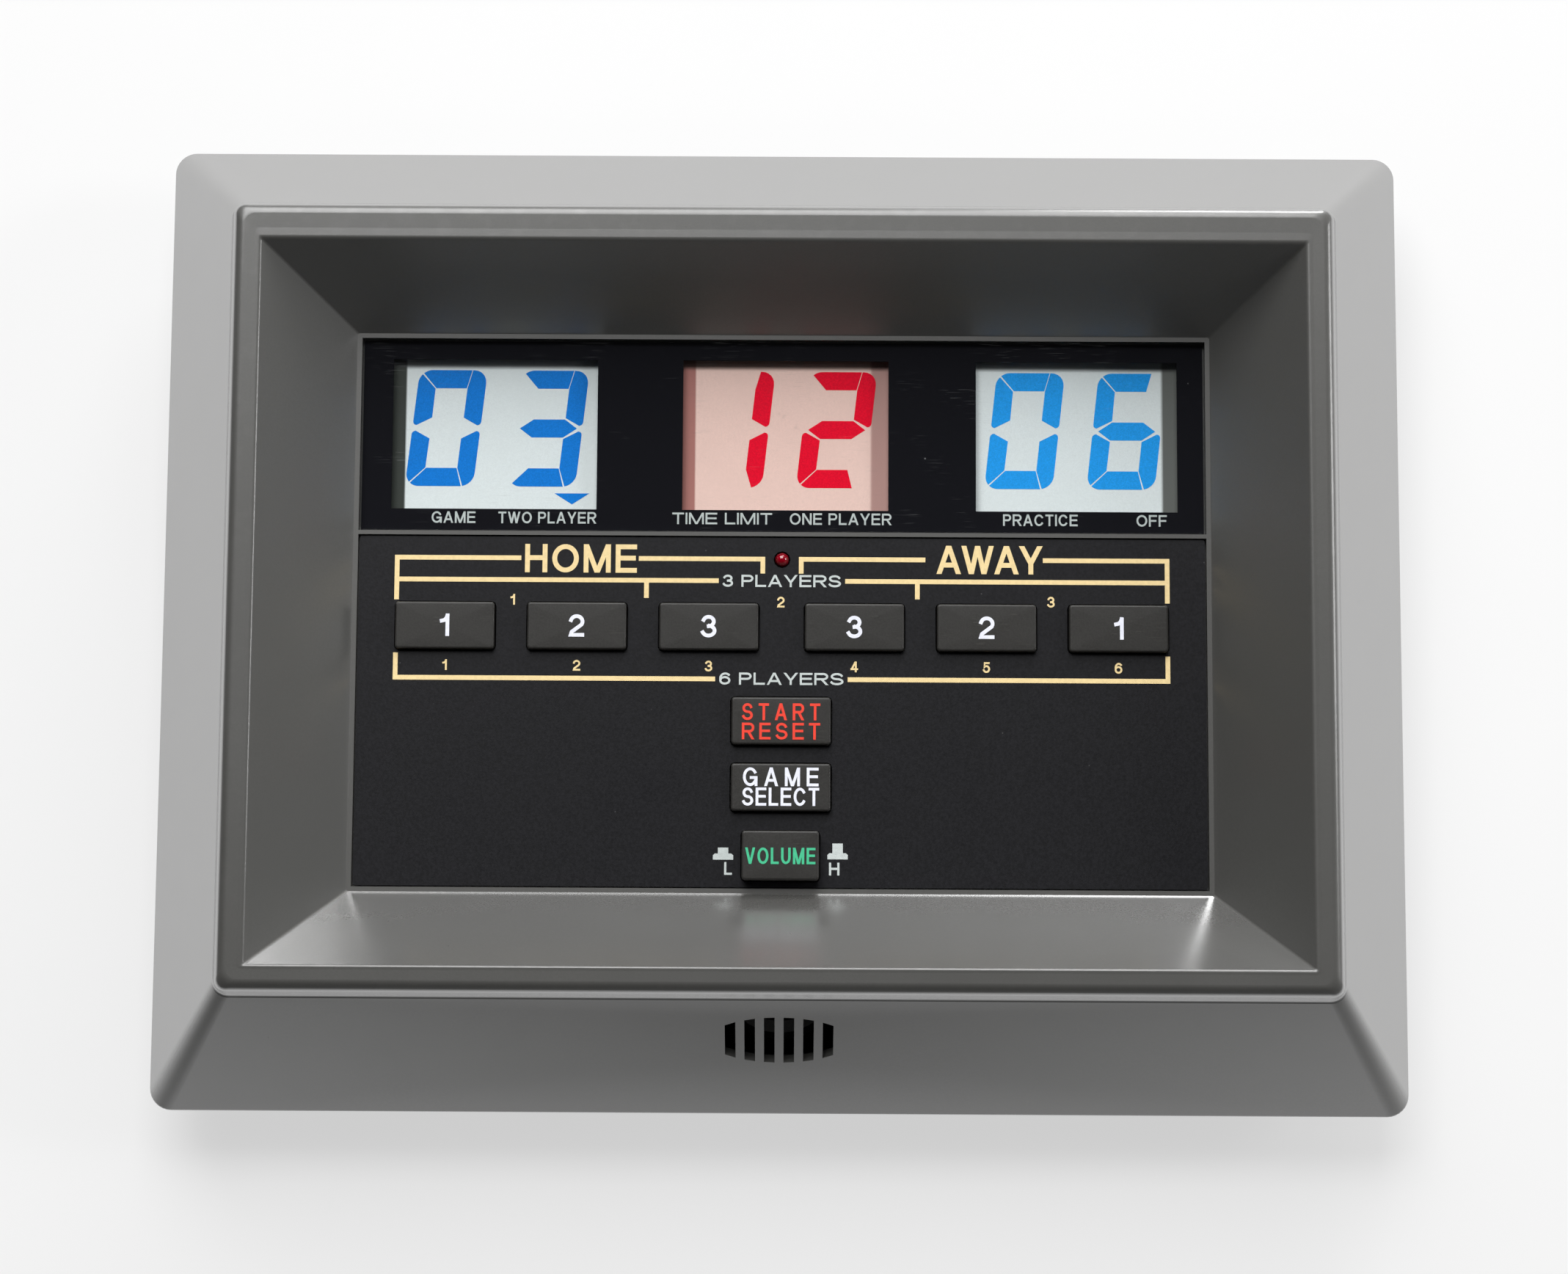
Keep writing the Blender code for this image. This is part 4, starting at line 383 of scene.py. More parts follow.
def window_finish():
    """Clear sheet: what shows of it is its gloss, a few wipe marks and specks of dust."""
    shade = Shade("window_clear")
    scratch = shade.scratches(0.16, 16, 1.25, 0.72)
    scratch = scratch.larger(shade.scratches(0.14, 12, 1.9, 0.73, (0.3, 0.1, 0)))
    cloud = 0.03 + 0.05 * shade.noise(14, 3)
    mirror = shade.node("ShaderNodeBsdfGlossy", {"Color": (1, 1, 1), "Roughness": cloud})
    clear = shade.node("ShaderNodeBsdfTransparent", {"Color": (0.97, 0.975, 0.975)})
    front = 1 - shade.node("ShaderNodeNewGeometry", output="Backfacing")
    gloss = shade.node("ShaderNodeFresnel", {"IOR": 1.49}) * front
    body = shade.node("ShaderNodeMixShader", {0: gloss, 1: clear, 2: mirror})
    dust = shade.node("ShaderNodeBsdfDiffuse", {"Color": (0.55, 0.56, 0.57)})
    cover = (scratch * 0.3).larger(shade.specks(9, 0.012, 0.028)) * front * 0.2
    return shade.finish(shade.node("ShaderNodeMixShader", {0: cover, 1: body, 2: dust}))


def mask_finish(colours):
    """Black ink printed on the back of the window, with pin holes and dust under it."""
    shade = Shade("mask_ink", colours.mask)
    color = shade.blend(shade.specks(5, 0.012, 0.026) * 0.25, 1, (0.1, 0.1, 0.1))
    return shade.surface(color, 0.3 + 0.2 * shade.noise(6, 3), None, {"Specular IOR Level": 0.0})


def panel_finish(colours):
    """Charcoal sheet with a fine pebbled grain, faint rubbed patches and dust."""
    shade = Shade("panel_sheet", colours.panel)
    grain = shade.noise(0.55, 3, 0.6, shade.stretched((1, 0.7, 1), (0, 0, 0.6)))
    rubbed = shade.noise(22, 4, 0.6).rise(0.45, 0.75)
    color = shade.blend(grain.rise(0.3, 0.7), 0.72, 1.25)
    color = shade.blend(rubbed * 0.12, color, 1.9)
    color = shade.blend(shade.specks(7, 0.014, 0.03) * 0.3, color, (0.14, 0.14, 0.14))
    normal = shade.bump(grain + 0.6 * shade.cells(0.45, "SMOOTH_F1"), 0.03, 0.55)
    return shade.surface(color, 0.42 + 0.14 * grain - 0.06 * rubbed, normal, {"Specular IOR Level": 0.2})


def cap_finish(colours):
    """Moulded button plastic with patches polished by fingers and a little lint."""
    shade = Shade("cap_plastic", colours.cap)
    grain = shade.noise(0.4, 2, 0.6)
    worn = shade.noise(5, 3, 0.6).rise(0.4, 0.7)
    color = shade.blend(grain.rise(0.3, 0.7), 0.85, 1.12)
    color = shade.blend(worn * 0.15, color, 1.5)
    color = shade.blend(shade.scratches(0.15, 5, 0.9, 0.69) * 0.3, color, 4)
    normal = shade.bump(grain + 0.5 * shade.noise(1.1, 1), 0.018, 0.5)
    return shade.surface(color, 0.4 + 0.14 * grain - 0.08 * worn, normal, {"Specular IOR Level": 0.35})


def ink_finish(name, base):
    """Screen print: a slightly uneven layer with a matt, faintly grainy top."""
    shade = Shade(name, base)
    patch = shade.noise(0.9, 3, 0.6)
    color = shade.blend(patch.rise(0.3, 0.7), 0.9, 1)
    color = shade.blend(shade.noise(0.22, 1).rise(0.68, 0.74) * 0.3, color, 0.5)
    return shade.surface(color, 0.45 + 0.15 * patch, shade.bump(patch, 0.01, 0.4))


def display_finish(name, base, ground, strips):
    """Display glass: grainy ground between border bands in painted shade, painted shadow under the
    opening's top.

    The ground is given as its left and right side, and the border bands as their painted-shade colours.
    """
    shade = Shade(name, base)
    x, y, _ = shade.axes()
    grain = shade.noise(0.28, 2, 0.7)
    color = shade.blend(grain.rise(0.3, 0.7), 0.93, 1.02)
    color = shade.blend(shade.noise(9, 3, 0.55).rise(0.4, 0.75) * 0.5, color, 0.95)
    smudge_y = 42 * MM
    smudge = shade.noise(3.2, 2, 0.6).rise(0.68, 0.78)
    smudge = smudge * (1 - abs(y - smudge_y).rise(3 * MM, 9 * MM))
    color = shade.blend(smudge * 0.3, color, 0.6)
    left, right = ground
    left_soft, right_soft = 0.25 * MM, 0.4 * MM
    # Border bands beyond the ground: the display's border, coloured with painted shade cast by the
    # mask's edges.
    color = shade.blend(1 - x.rise(left - left_soft, left + left_soft), color, strips[0])
    color = shade.blend(x.rise(right - right_soft, right + right_soft), color, strips[1])
    # Painted shadow of the opening's top edge.
    shadow = y.rise(OPENING_TOP - 2.0 * MM, OPENING_TOP - 0.7 * MM)
    color = shade.blend(shadow * 0.85, color, 0.12)
    normal = shade.bump(grain, 0.01, 0.3)
    return shade.surface(color, 0.4 + 0.1 * grain, normal, {"Specular IOR Level": 0.1})


def segment_finish(name, base):
    """Dyed liquid crystal seen over its reflector, with the reflector's fine grain."""
    shade = Shade(name, base)
    grain = shade.noise(0.28, 2, 0.7)
    color = shade.blend(grain.rise(0.3, 0.7), 0.85, 1.06)
    return shade.surface(color, 0.35 + 0.1 * grain, None, {"Specular IOR Level": 0.05})


def lamp_finish(colours):
    """Red tinted resin, glossy, with painted shade darkening it towards its rim, where it sits in its
    hole.
    """
    shade = Shade("lamp_resin", colours.lamp)
    _, _, z = shade.axes()
    swirl = shade.noise(0.8, 2)
    # Painted shade: half as bright at and below the face's height, full from 1.2 mm above it.
    color = shade.blend(z.rise(FACE_Z, FACE_Z + 1.2 * MM), 0.5, 1)
    color = shade.blend(swirl.rise(0.4, 0.7) * 0.4, color, 1.6)
    return shade.surface(color, 0.06 + 0.05 * swirl, None, {"Coat Weight": 0.6})


def rubber_finish():
    """Matt rubber with a fine tooth and chalky dust."""
    shade = Shade("foot_rubber_finish")
    tooth = shade.noise(0.25, 2)
    chalk = shade.noise(2.5, 4, 0.7).rise(0.5, 0.8)
    color = shade.blend(chalk * 0.3, 0.016, (0.09, 0.088, 0.085))
    return shade.surface(color, 0.8 + 0.12 * tooth, shade.bump(tooth, 0.05, 0.6))


def metal_finish(name, base, dull, streak=(1, 1, 0.05), size=0.5):
    """Plated or bare metal: drawing lines along the streak and a cloudy shine."""
    shade = Shade(name, base)
    lines = shade.noise(size, 2, vector=shade.stretched(streak))
    spots = shade.noise(0.7, 2, 0.7).rise(0.66, 0.76)
    color = shade.blend(shade.noise(3, 3, 0.6).rise(0.35, 0.7), 0.82, 1)
    color = shade.blend(spots * 0.4, color, 0.45)
    roughness = dull + 0.18 * lines + 0.2 * spots
    return shade.surface(color, roughness, shade.bump(lines, 0.008, 0.4), {"Metallic": 1.0})


def plastic_finish(name, base, dull, grain_size=0.5):
    """Plain moulded plastic of an inner piece, with flow marks and fine grain."""
    shade = Shade(name, base)
    grain = shade.noise(grain_size, 2, 0.6)
    flow = shade.noise(7, 3, vector=shade.stretched((1, 0.3, 1)), distortion=0.6)
    color = shade.blend(flow.rise(0.35, 0.65), 0.88, 1)
    color = shade.blend(grain.rise(0.3, 0.7) * 0.5, color, 1.12)
    return shade.surface(color, dull + 0.15 * grain, shade.bump(grain, 0.02, 0.4))


def board_finish():
    """Green resist over copper tracks, with tinned pads where tracks end."""
    shade = Shade("board_resist")
    x, y, _ = shade.axes()
    bend = 2.2 * MM * shade.noise(17, 0)
    track = abs((y + bend).wave(2.54)).rise(0.55, 0.62)
    cross = abs((x + bend).wave(3.81)).rise(0.6, 0.67)
    region = shade.noise(24, 1).rise(0.49, 0.51)
    copper = track * region + cross * (1 - region)
    weave = shade.noise(0.35, 1)
    color = shade.blend(copper, (0.010, 0.075, 0.032), (0.022, 0.135, 0.052))
    color = shade.blend(weave * 0.3, color, (0.012, 0.06, 0.03))
    pad = shade.specks(4.4, 0.1, 0.13)
    color = shade.blend(pad, color, (0.55, 0.55, 0.52))
    normal = shade.bump(copper + pad, 0.035, 0.7)
    return shade.surface(color, 0.3 + 0.12 * weave, normal, {"Metallic": pad * 0.9})


def strip_finish():
    """Layered rubber connector: dark conducting layers between pale insulating ones."""
    shade = Shade("strip_rubber")
    x, _, _ = shade.axes()
    layer = x.wave(0.5).rise(-0.2, 0.2)
    dust = shade.noise(1.5, 3)
    color = shade.blend(layer, (0.02, 0.02, 0.022), (0.22, 0.21, 0.2))
    color = shade.blend(dust.rise(0.5, 0.8) * 0.2, color, (0.3, 0.3, 0.29))
    return shade.surface(color, 0.65 + 0.1 * dust, shade.bump(layer, 0.02, 0.5))


def chip_finish():
    """Black moulded epoxy with a matt fine texture and a paler, dusty top."""
    shade = Shade("chip_epoxy")
    fine = shade.noise(0.2, 2)
    dust = shade.noise(4, 3, 0.6).rise(0.45, 0.75)
    color = shade.blend(dust * 0.2, (0.013, 0.013, 0.014), (0.06, 0.06, 0.06))
    return shade.surface(color, 0.45 + 0.2 * fine, shade.bump(fine, 0.03, 0.5))


def cell_finish():
    """Shrunk film on a cell: a dark blue body, a copper band and bare metal at the ends."""
    shade = Shade("cell_film")
    x, _, _ = shade.axes()
    middle, soft = 51 * MM, 0.1 * MM
    band_start, band_end, film_end = 14.2 * MM, 19.6 * MM, 23.6 * MM
    reach = abs(x - middle)
    bare = reach.rise(film_end, film_end + soft)
    band = reach.rise(band_start, band_start + soft) * (1 - reach.rise(band_end, band_end + soft))
    color = shade.blend(band, (0.03, 0.07, 0.2), (0.55, 0.26, 0.09))
    color = shade.blend(bare, color, (0.6, 0.6, 0.58))
    wrinkle = shade.noise(2.2, 2, vector=shade.stretched((0.25, 1, 1)))
    metal = {"Metallic": bare.larger(band * 0.7)}
    return shade.surface(color, 0.24 + 0.16 * wrinkle, shade.bump(wrinkle, 0.05, 0.35), metal)


def cone_finish():
    """Pressed paper cone: ring corrugations and fibres."""
    shade = Shade("cone_paper")
    x, y, _ = shade.axes()
    middle_x, middle_y = middle_of("speaker_cone")
    across, along = x - middle_x, y - middle_y
    ring = (across * across + along * along).root().wave(1.3)
    fibre = shade.noise(0.4, 3, 0.7)
    color = shade.blend(fibre.rise(0.3, 0.7), (0.22, 0.22, 0.225), (0.34, 0.34, 0.345))
    return shade.surface(color, 0.82, shade.bump(ring + fibre, 0.09, 0.6))


def lead_finish(name, base):
    """Soft wire insulation with a fine grain and a dull shine."""
    shade = Shade(name, base)
    fine = shade.noise(0.3, 2)
    color = shade.blend(shade.noise(3, 2).rise(0.35, 0.7), 0.8, 1)
    return shade.surface(color, 0.42 + 0.14 * fine, shade.bump(fine, 0.02, 0.4))


def smooth(mesh, crease):
    """Shade a mesh smooth, with sharp creases."""
    mesh.shade_smooth()
    mesh.set_sharp_from_angle(angle=math.radians(crease))
    return mesh


class Shape:
    """Points and faces that a piece is put together from."""

    def __init__(self, points, faces):
        self.points = np.asarray(points, dtype=float).reshape(-1, 3)
        self.faces = faces

    def __add__(self, other):
        start = len(self.points)
        moved = [[start + corner for corner in face] for face in other.faces]
        return Shape(np.concatenate([self.points, other.points]), self.faces + moved)

    def tilted(self, tilt, place):
        """Turned about X by tilt, then moved to place."""
        x, y, z = self.points.T
        cosine, sine = math.cos(tilt), math.sin(tilt)
        points = np.stack([x, y * cosine - z * sine, y * sine + z * cosine], -1)
        return Shape(points + np.array(place), self.faces)

    def mesh(self, name, crease=30):
        """Mesh with its doubles merged, its faces outwards and its creases sharp."""
        mesh = bpy.data.meshes.new(name)
        mesh.from_pydata(self.points.tolist(), [], self.faces)
        bm = bmesh.new()
        bm.from_mesh(mesh)
        bmesh.ops.remove_doubles(bm, verts=bm.verts, dist=0.0002 * MM)
        bmesh.ops.recalc_face_normals(bm, faces=bm.faces)
        bm.to_mesh(mesh)
        bm.free()
        return smooth(mesh, crease)


def together(shapes):
    """One shape from several."""
    return sum(shapes, Shape([], []))


def loft(rings, wraps=False):
    """Closed skin through rings[row, column, xyz]: quads between rows, a face on each end.

    With wraps, the last row joins the first one instead.
    """
    rows, columns = rings.shape[:2]
    index = np.arange(rows * columns).reshape(rows, columns)
    here, there = (index, np.roll(index, -1, 0)) if wraps else (index[:-1], index[1:])
    quads = np.stack([here, np.roll(here, -1, 1), np.roll(there, -1, 1), there], -1)
    ends = [] if wraps else [index[0, ::-1].tolist(), index[-1].tolist()]
    return Shape(rings, quads.reshape(-1, 4).tolist() + ends)


def plate(outline, low, high):
    """Upright prism on an anticlockwise outline[point, xy], from height low to high."""
    rings = np.empty((2, len(outline), 3))
    rings[:, :, :2] = outline
    rings[0, :, 2] = low
    rings[1, :, 2] = high
    return loft(rings)


def block(x_low, x_high, y_low, y_high, z_low, z_high):
    outline = [(x_low, y_low), (x_high, y_low), (x_high, y_high), (x_low, y_high)]
    return plate(outline, z_low, z_high)


# Distance from an arc to the extra point beside it, which keeps the shading of flat sides flat, and
# the largest share of a side that one arc may take.
GUARD = 0.04 * MM
ARC_SHARE = 0.46


def rounded_rings(x_low, x_high, y_low, y_high, z, radius, steps, guard=GUARD):
    """Rings that are rectangles with round corners, one row for each value in the arrays.

    Point on a corner: its centre + radius * (cos a, sin a), with a quarter turn of a. One more
    point lies on the straight side next to each arc.
    """
    arrays = np.broadcast_arrays(*np.atleast_1d(x_low, x_high, y_low, y_high, z, radius))
    x_low, x_high, y_low, y_high, z, radius = (array[:, None] for array in arrays)
    radius = np.minimum(radius, 0.499 * np.minimum(x_high - x_low, y_high - y_low))
    slide = np.zeros(steps + 3)
    slide[0], slide[-1] = -guard, guard
    columns = []
    for x, y, start in (
        (x_high - radius, y_low + radius, -90), (x_high - radius, y_high - radius, 0),
        (x_low + radius, y_high - radius, 90), (x_low + radius, y_low + radius, 180),
    ):
        angle = np.radians(start + np.pad(np.linspace(0, 90, steps + 1), 1, mode="edge"))
        xs = x + radius * np.cos(angle) - slide * np.sin(angle)
        ys = y + radius * np.sin(angle) + slide * np.cos(angle)
        columns.append(np.stack([xs, ys, z + 0 * xs], -1))
    return np.concatenate(columns, axis=1)


def filleted(corners, radii, steps):
    """Section through corners[point, (distance, height)] with arcs of these radii.

    Each arc touches both of its sides, at radius / tan(half the angle between them) from the
    corner. One more point lies on each side just past the arc. Returns the points and, for
    each, the number of the corner that it belongs to.
    """
    spots = np.asarray(corners, dtype=float) @ np.array([1, 1j])
    points, owners = [spots[:1]], [0]
    for i in range(1, len(spots) - 1):
        back, ahead = spots[i - 1] - spots[i], spots[i + 1] - spots[i]
        half = abs(np.angle(ahead / back)) / 2
        reach = min(radii[i] / math.tan(half), ARC_SHARE * min(abs(back), abs(ahead)))
        radius = reach * math.tan(half)
        back, ahead = back / abs(back), ahead / abs(ahead)
        centre = spots[i] + (back + ahead) / abs(back + ahead) * radius / math.sin(half)
        start, end = spots[i] + back * reach - centre, spots[i] + ahead * reach - centre
        arc = centre + start * np.exp(1j * np.angle(end / start) * np.linspace(0, 1, steps + 1))
        before, past = spots[i] + back * (reach + GUARD), spots[i] + ahead * (reach + GUARD)
        points += [[before], arc, [past]]
        owners += [i] * (steps + 3)
    section = np.concatenate([*points, spots[-1:]])
    return np.stack([section.real, section.imag], -1), np.array([*owners, len(spots) - 1])


def turned(profile, place, segments):
    """Solid of revolution about the upright line through place, from profile[row, (r, z)]."""
    angle = np.linspace(0, 2 * math.pi, segments, endpoint=False)
    radius, height = np.asarray(profile, dtype=float).T[:, :, None]
    x, y = place[0] + radius * np.cos(angle), place[1] + radius * np.sin(angle)
    return loft(np.stack([x, y, height + 0 * angle], -1))


def rod(place, radius, low, high, segments=32):
    """Upright cylinder."""
    return turned([(radius, low), (radius, high)], place, segments)


def bend(x, y, wide, tall, start, end, count=None):
    """Points on part of an ellipse, about one for each 12 degrees where no count is given."""
    count = count or max(3, round(abs(end - start) / 12) + 1)
    angle = np.radians(np.linspace(start, end, count))
    return list(zip(x + wide * np.cos(angle), y + tall * np.sin(angle)))


def paint(mesh, material):
    mesh.materials.clear()
    mesh.materials.append(material)


def dress(material, *nodes):
    """Give solids that stay their finish."""
    for node in nodes:
        paint(frame["nodes"][node].data, material)


def body_of(node):
    return frame["nodes"][node].parent.name.split(":", 1)[1]


def middle_of(node):
    low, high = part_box(node)
    return (low[0] + high[0]) / 2, (low[1] + high[1]) / 2


def piece(name, shape, material, body, replaces=(), crease=30):
    """Put a shape or a finished mesh into the scene, on its body, and hide what it stands for."""
    mesh = shape.mesh(name, crease) if isinstance(shape, Shape) else shape
    paint(mesh, material)
    obj = bpy.data.objects.new(name, mesh)
    bpy.context.scene.collection.objects.link(obj)
    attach(obj, body)
    if replaces:
        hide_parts(*replaces)


def carved(name, shape, steps):
    """Mesh of a shape after joining and cutting others, given as (operation, shape)."""
    solids = []
    for i, solid in enumerate([shape] + [tool for _, tool in steps]):
        obj = bpy.data.objects.new(f"{name}_step_{i}", solid.mesh(f"{name}_step_{i}"))
        bpy.context.scene.collection.objects.link(obj)
        solids.append(obj)
    for (operation, _), tool in zip(steps, solids[1:]):
        modifier = solids[0].modifiers.new(tool.name, "BOOLEAN")
        modifier.operation = operation
        modifier.object = tool
        modifier.solver = "EXACT"
    graph = bpy.context.evaluated_depsgraph_get()
    mesh = bpy.data.meshes.new_from_object(solids[0].evaluated_get(graph))
    mesh.name = name
    for obj in solids:
        bpy.data.objects.remove(obj)
    return smooth(mesh, 30)


def refined(node, edge, material, name, segments=2, crease=32):
    """Copy of a solid with its facets merged and its sharp edges rounded, in its place."""
    bm = bmesh.new()
    bm.from_mesh(frame["nodes"][node].data)
    bmesh.ops.remove_doubles(bm, verts=bm.verts, dist=0.002 * MM)
    flat = math.radians(1.0)
    bmesh.ops.dissolve_limit(bm, angle_limit=flat, verts=bm.verts, edges=bm.edges)
    sharp = [
        e for e in bm.edges
        if len(e.link_faces) == 2 and e.calc_face_angle() > math.radians(crease)
    ]
    bmesh.ops.bevel(
        bm, geom=sharp, offset=edge, segments=segments, profile=0.5, affect="EDGES",
        clamp_overlap=True,
    )
    mesh = bpy.data.meshes.new(name)
    bm.to_mesh(mesh)
    bm.free()
    piece(name, smooth(mesh, crease), material, body_of(node), [node])


def glyph(width, *strokes, loops=(), slants=()):
    """A letter's width, as a share of its height, and the pen's ways in a box (0, 0) to (1, 1).

    Slants are cut level at both ends, and loops are closed.
    """
    return width, strokes, loops, slants


# Plain capitals and numbers.
STEM, BAR = [(0, 0), (0, 1)], [(0, 1), (1, 1)]
STEMS = [STEM, [(1, 0), (1, 1)]]
BOWL = [(0, 1), (0.6, 1)] + bend(0.64, 0.74, 0.36, 0.26, 80, -80) + [(0.6, 0.48), (0, 0.48)]
VALLEY = [((0, 1), (0.5, 0)), ((1, 1), (0.5, 0))]
GLYPHS = {
    "A": glyph(0.94, [(0.25, 0.28), (0.75, 0.28)], slants=[((0, 0), (0.5, 1)), ((1, 0), (0.5, 1))]),
    "C": glyph(0.94, bend(0.5, 0.5, 0.5, 0.5, 38, 322)),
    "E": glyph(0.80, [(1, 1), (0, 1), (0, 0), (1, 0)], [(0, 0.52), (0.93, 0.52)]),
    "F": glyph(0.76, [(1, 1), (0, 1), (0, 0)], [(0, 0.5), (0.9, 0.5)]),
    "G": glyph(0.98, bend(0.5, 0.5, 0.5, 0.5, 36, 335), [(0.58, 0.45), (1, 0.45), (1, 0)]),
    "H": glyph(0.84, *STEMS, [(0, 0.52), (1, 0.52)]),
    "I": glyph(0, [(0.5, 0), (0.5, 1)]),
    "L": glyph(0.72, [(0, 1), (0, 0), (1, 0)]),
    "M": glyph(1.02, *STEMS, slants=VALLEY),
    "N": glyph(0.86, *STEMS, slants=[((0, 1), (1, 0))]),
    "O": glyph(1.0, loops=[bend(0.5, 0.5, 0.5, 0.5, 0, 348)]),
    "P": glyph(0.80, STEM, BOWL),
    "R": glyph(0.88, STEM, BOWL, slants=[((0.55, 0.45), (1, 0))]),
    "S": glyph(0.84, bend(0.5, 0.75, 0.45, 0.25, 18, 262) + bend(0.5, 0.25, 0.5, 0.25, 90, -162)),
    "T": glyph(0.80, BAR, [(0.5, 0), (0.5, 1)]),
    "U": glyph(0.86, [(0, 1)] + bend(0.5, 0.38, 0.5, 0.38, 180, 360) + [(1, 1)]),
    "V": glyph(0.90, slants=VALLEY),
    "W": glyph(1.25, slants=[
        ((0, 1), (0.27, 0)), ((0.5, 1), (0.27, 0)), ((0.5, 1), (0.73, 0)), ((1, 1), (0.73, 0))]),
    "Y": glyph(0.90, [(0.5, 0), (0.5, 0.42)], slants=[((0, 1), (0.5, 0.38)), ((1, 1), (0.5, 0.38))]),
    "1": glyph(0.42, [(0, 0.72), (0.45, 0.75), (0.8, 0.86), (0.95, 0.98)], STEMS[1]),
    "2": glyph(0.68, bend(0.5, 0.71, 0.5, 0.29, 165, -35) + [(0.08, 0.16), (0, 0), (1, 0)]),
    "3": glyph(0.68, bend(0.48, 0.75, 0.45, 0.25, 160, -88), bend(0.48, 0.26, 0.52, 0.26, 80, -160)),
    "4": glyph(0.70, [(0.76, 0), (0.76, 1)], [(0, 0.24), (1, 0.24)], slants=[((0.04, 0.26), (0.74, 1))]),
    "5": glyph(0.68, [(0.93, 1), (0.2, 1), (0.1, 0.5)] + bend(0.5, 0.33, 0.5, 0.33, 125, -158)),
    "6": glyph(0.70, bend(0.55, 0.55, 0.55, 0.45, 45, 180) + [(0, 0.35)],
               loops=[bend(0.5, 0.32, 0.5, 0.32, 0, 348)]),
    " ": glyph(0.3),
}

# Difference in height between strokes that cross, so that no two of their tops coincide.
LAYER = 0.0015 * MM


def stroke(path, pen, low, high, closed=False):
    """Flat ribbon of the pen's width along path[point, xy], its free ends square.

    At each bend the ribbon's half width is pen / (2 cos(half the turn)), up to 0.8 pen.
    """
    spots = np.asarray(path, dtype=float) @ np.array([1, 1j])
    ahead = np.roll(spots, -1) - spots
    ahead /= abs(ahead)
    back = np.roll(ahead, 1)
    if not closed:
        back[0], ahead[-1] = ahead[0], back[-1]
        spots[0] -= ahead[0] * pen / 2
        spots[-1] += ahead[-1] * pen / 2
    normal = (back + ahead) / abs(back + ahead) * 1j
    turn = np.maximum((normal / 1j * ahead.conj()).real, 0.625)
    left, right = spots + normal / turn * pen / 2, spots - normal / turn * pen / 2
    rings = np.stack([
        np.stack([side.real, side.imag, np.full(len(spots), height)], -1)
        for side, height in ((left, low), (right, low), (right, high), (left, high))
    ], 1)
    return loft(rings, closed)


def slant(start, end, pen, low, high):
    """Stroke cut level at both ends."""
    (x0, y0), (x1, y1) = start, end
    reach = pen / 2 * math.hypot(x1 - x0, y1 - y0) / abs(y1 - y0)
    outline = [(x0 - reach, y0), (x0 + reach, y0), (x1 + reach, y1), (x1 - reach, y1)]
    return plate(outline, low, high)


def lettering(text, left, right, low, high, z, ink, weight=0.17, tracking=0.16):
    """Words as raised ink, in a box across the face.

    The pen is weight * height wide and letters stand tracking * height apart. Without a right
    side, left is the middle of the word, whose letters keep their own width.
    """
    height = high - low
    pen = weight * height
    glyphs = [GLYPHS[letter] for letter in text]
    widths = np.array([letter[0] * height for letter in glyphs])
    fixed = pen * (widths == 0).sum() + tracking * height * (len(text) - 1)
    if right is None:
        left -= (widths.sum() + fixed) / 2
    else:
        widths *= (right - left - fixed) / widths.sum()
    widths[widths == 0] = pen
    shapes = []
    for (_, strokes, loops, slants), width in zip(glyphs, widths):
        top = z + ink
        start = left + pen / 2
        for path, closed in [(way, False) for way in strokes] + [(way, True) for way in loops]:
            points = np.array(path) * (width - pen, height - pen) + (start, low + pen / 2)
            shapes.append(stroke(points, pen, z, top, closed))
            top += LAYER
        for ends in slants:
            points = np.array(ends) * (width - pen, height) + (start, low)
            shapes.append(slant(*points, pen, z, top))
            top += LAYER
        left += width + tracking * height
    return together(shapes)


def section_rings(corners, steps):
    """Rings of a tray, from the corners of its section: run, height, fillet and corner radius.

    A run is the distance from the face, given for the tray's sides, top and bottom.
    """
    runs, heights, fillets, corner_radii = zip(*corners)
    sections = []
    for distances in np.transpose(runs):
        points, owners = filleted(np.transpose([distances, heights]), fillets, steps)
        sections.append(points)
    side, top, bottom = sections
    return rounded_rings(
        -FACE_RIGHT - side[:, 0], FACE_RIGHT + side[:, 0], FACE_BOTTOM - bottom[:, 0],
        FACE_TOP + top[:, 0], side[:, 1], np.array(corner_radii)[owners], steps,
    )


def housing_front(shape, steps):
    """Front of the housing, from the ledge round the face out to the lip."""
    return section_rings([
        (0 * FUNNEL_RUN, LEDGE_Z, 0, shape.funnel_corner),
        (FUNNEL_RUN + 0.1 * MM, RIM_Z, shape.inner_ridge, shape.funnel_corner),
        (FUNNEL_RUN + 0.4 * RIM_TOP_RUN, RIM_Z - shape.rim_hollow, 3 * MM, 1.0 * MM),
        (RIM_RUN + 0.6 * RIM_SIDE_RUN, RIM_Z, shape.outer_ridge, shape.ridge_corner),
        (FOOT_RUN, FOOT_Z, shape.foot_blend, shape.foot_corner),
        (OUTLINE_RUN, LIP_Z, shape.lip_round, shape.outline_corner),
        (OUTLINE_RUN, LIP_BOTTOM_Z, 0, shape.outline_corner),
    ], steps)


def wall_offset(run, rise):
    """Horizontal distance between the two faces of a wall that leans by run over rise."""
    return WALL * np.hypot(run, rise) / rise


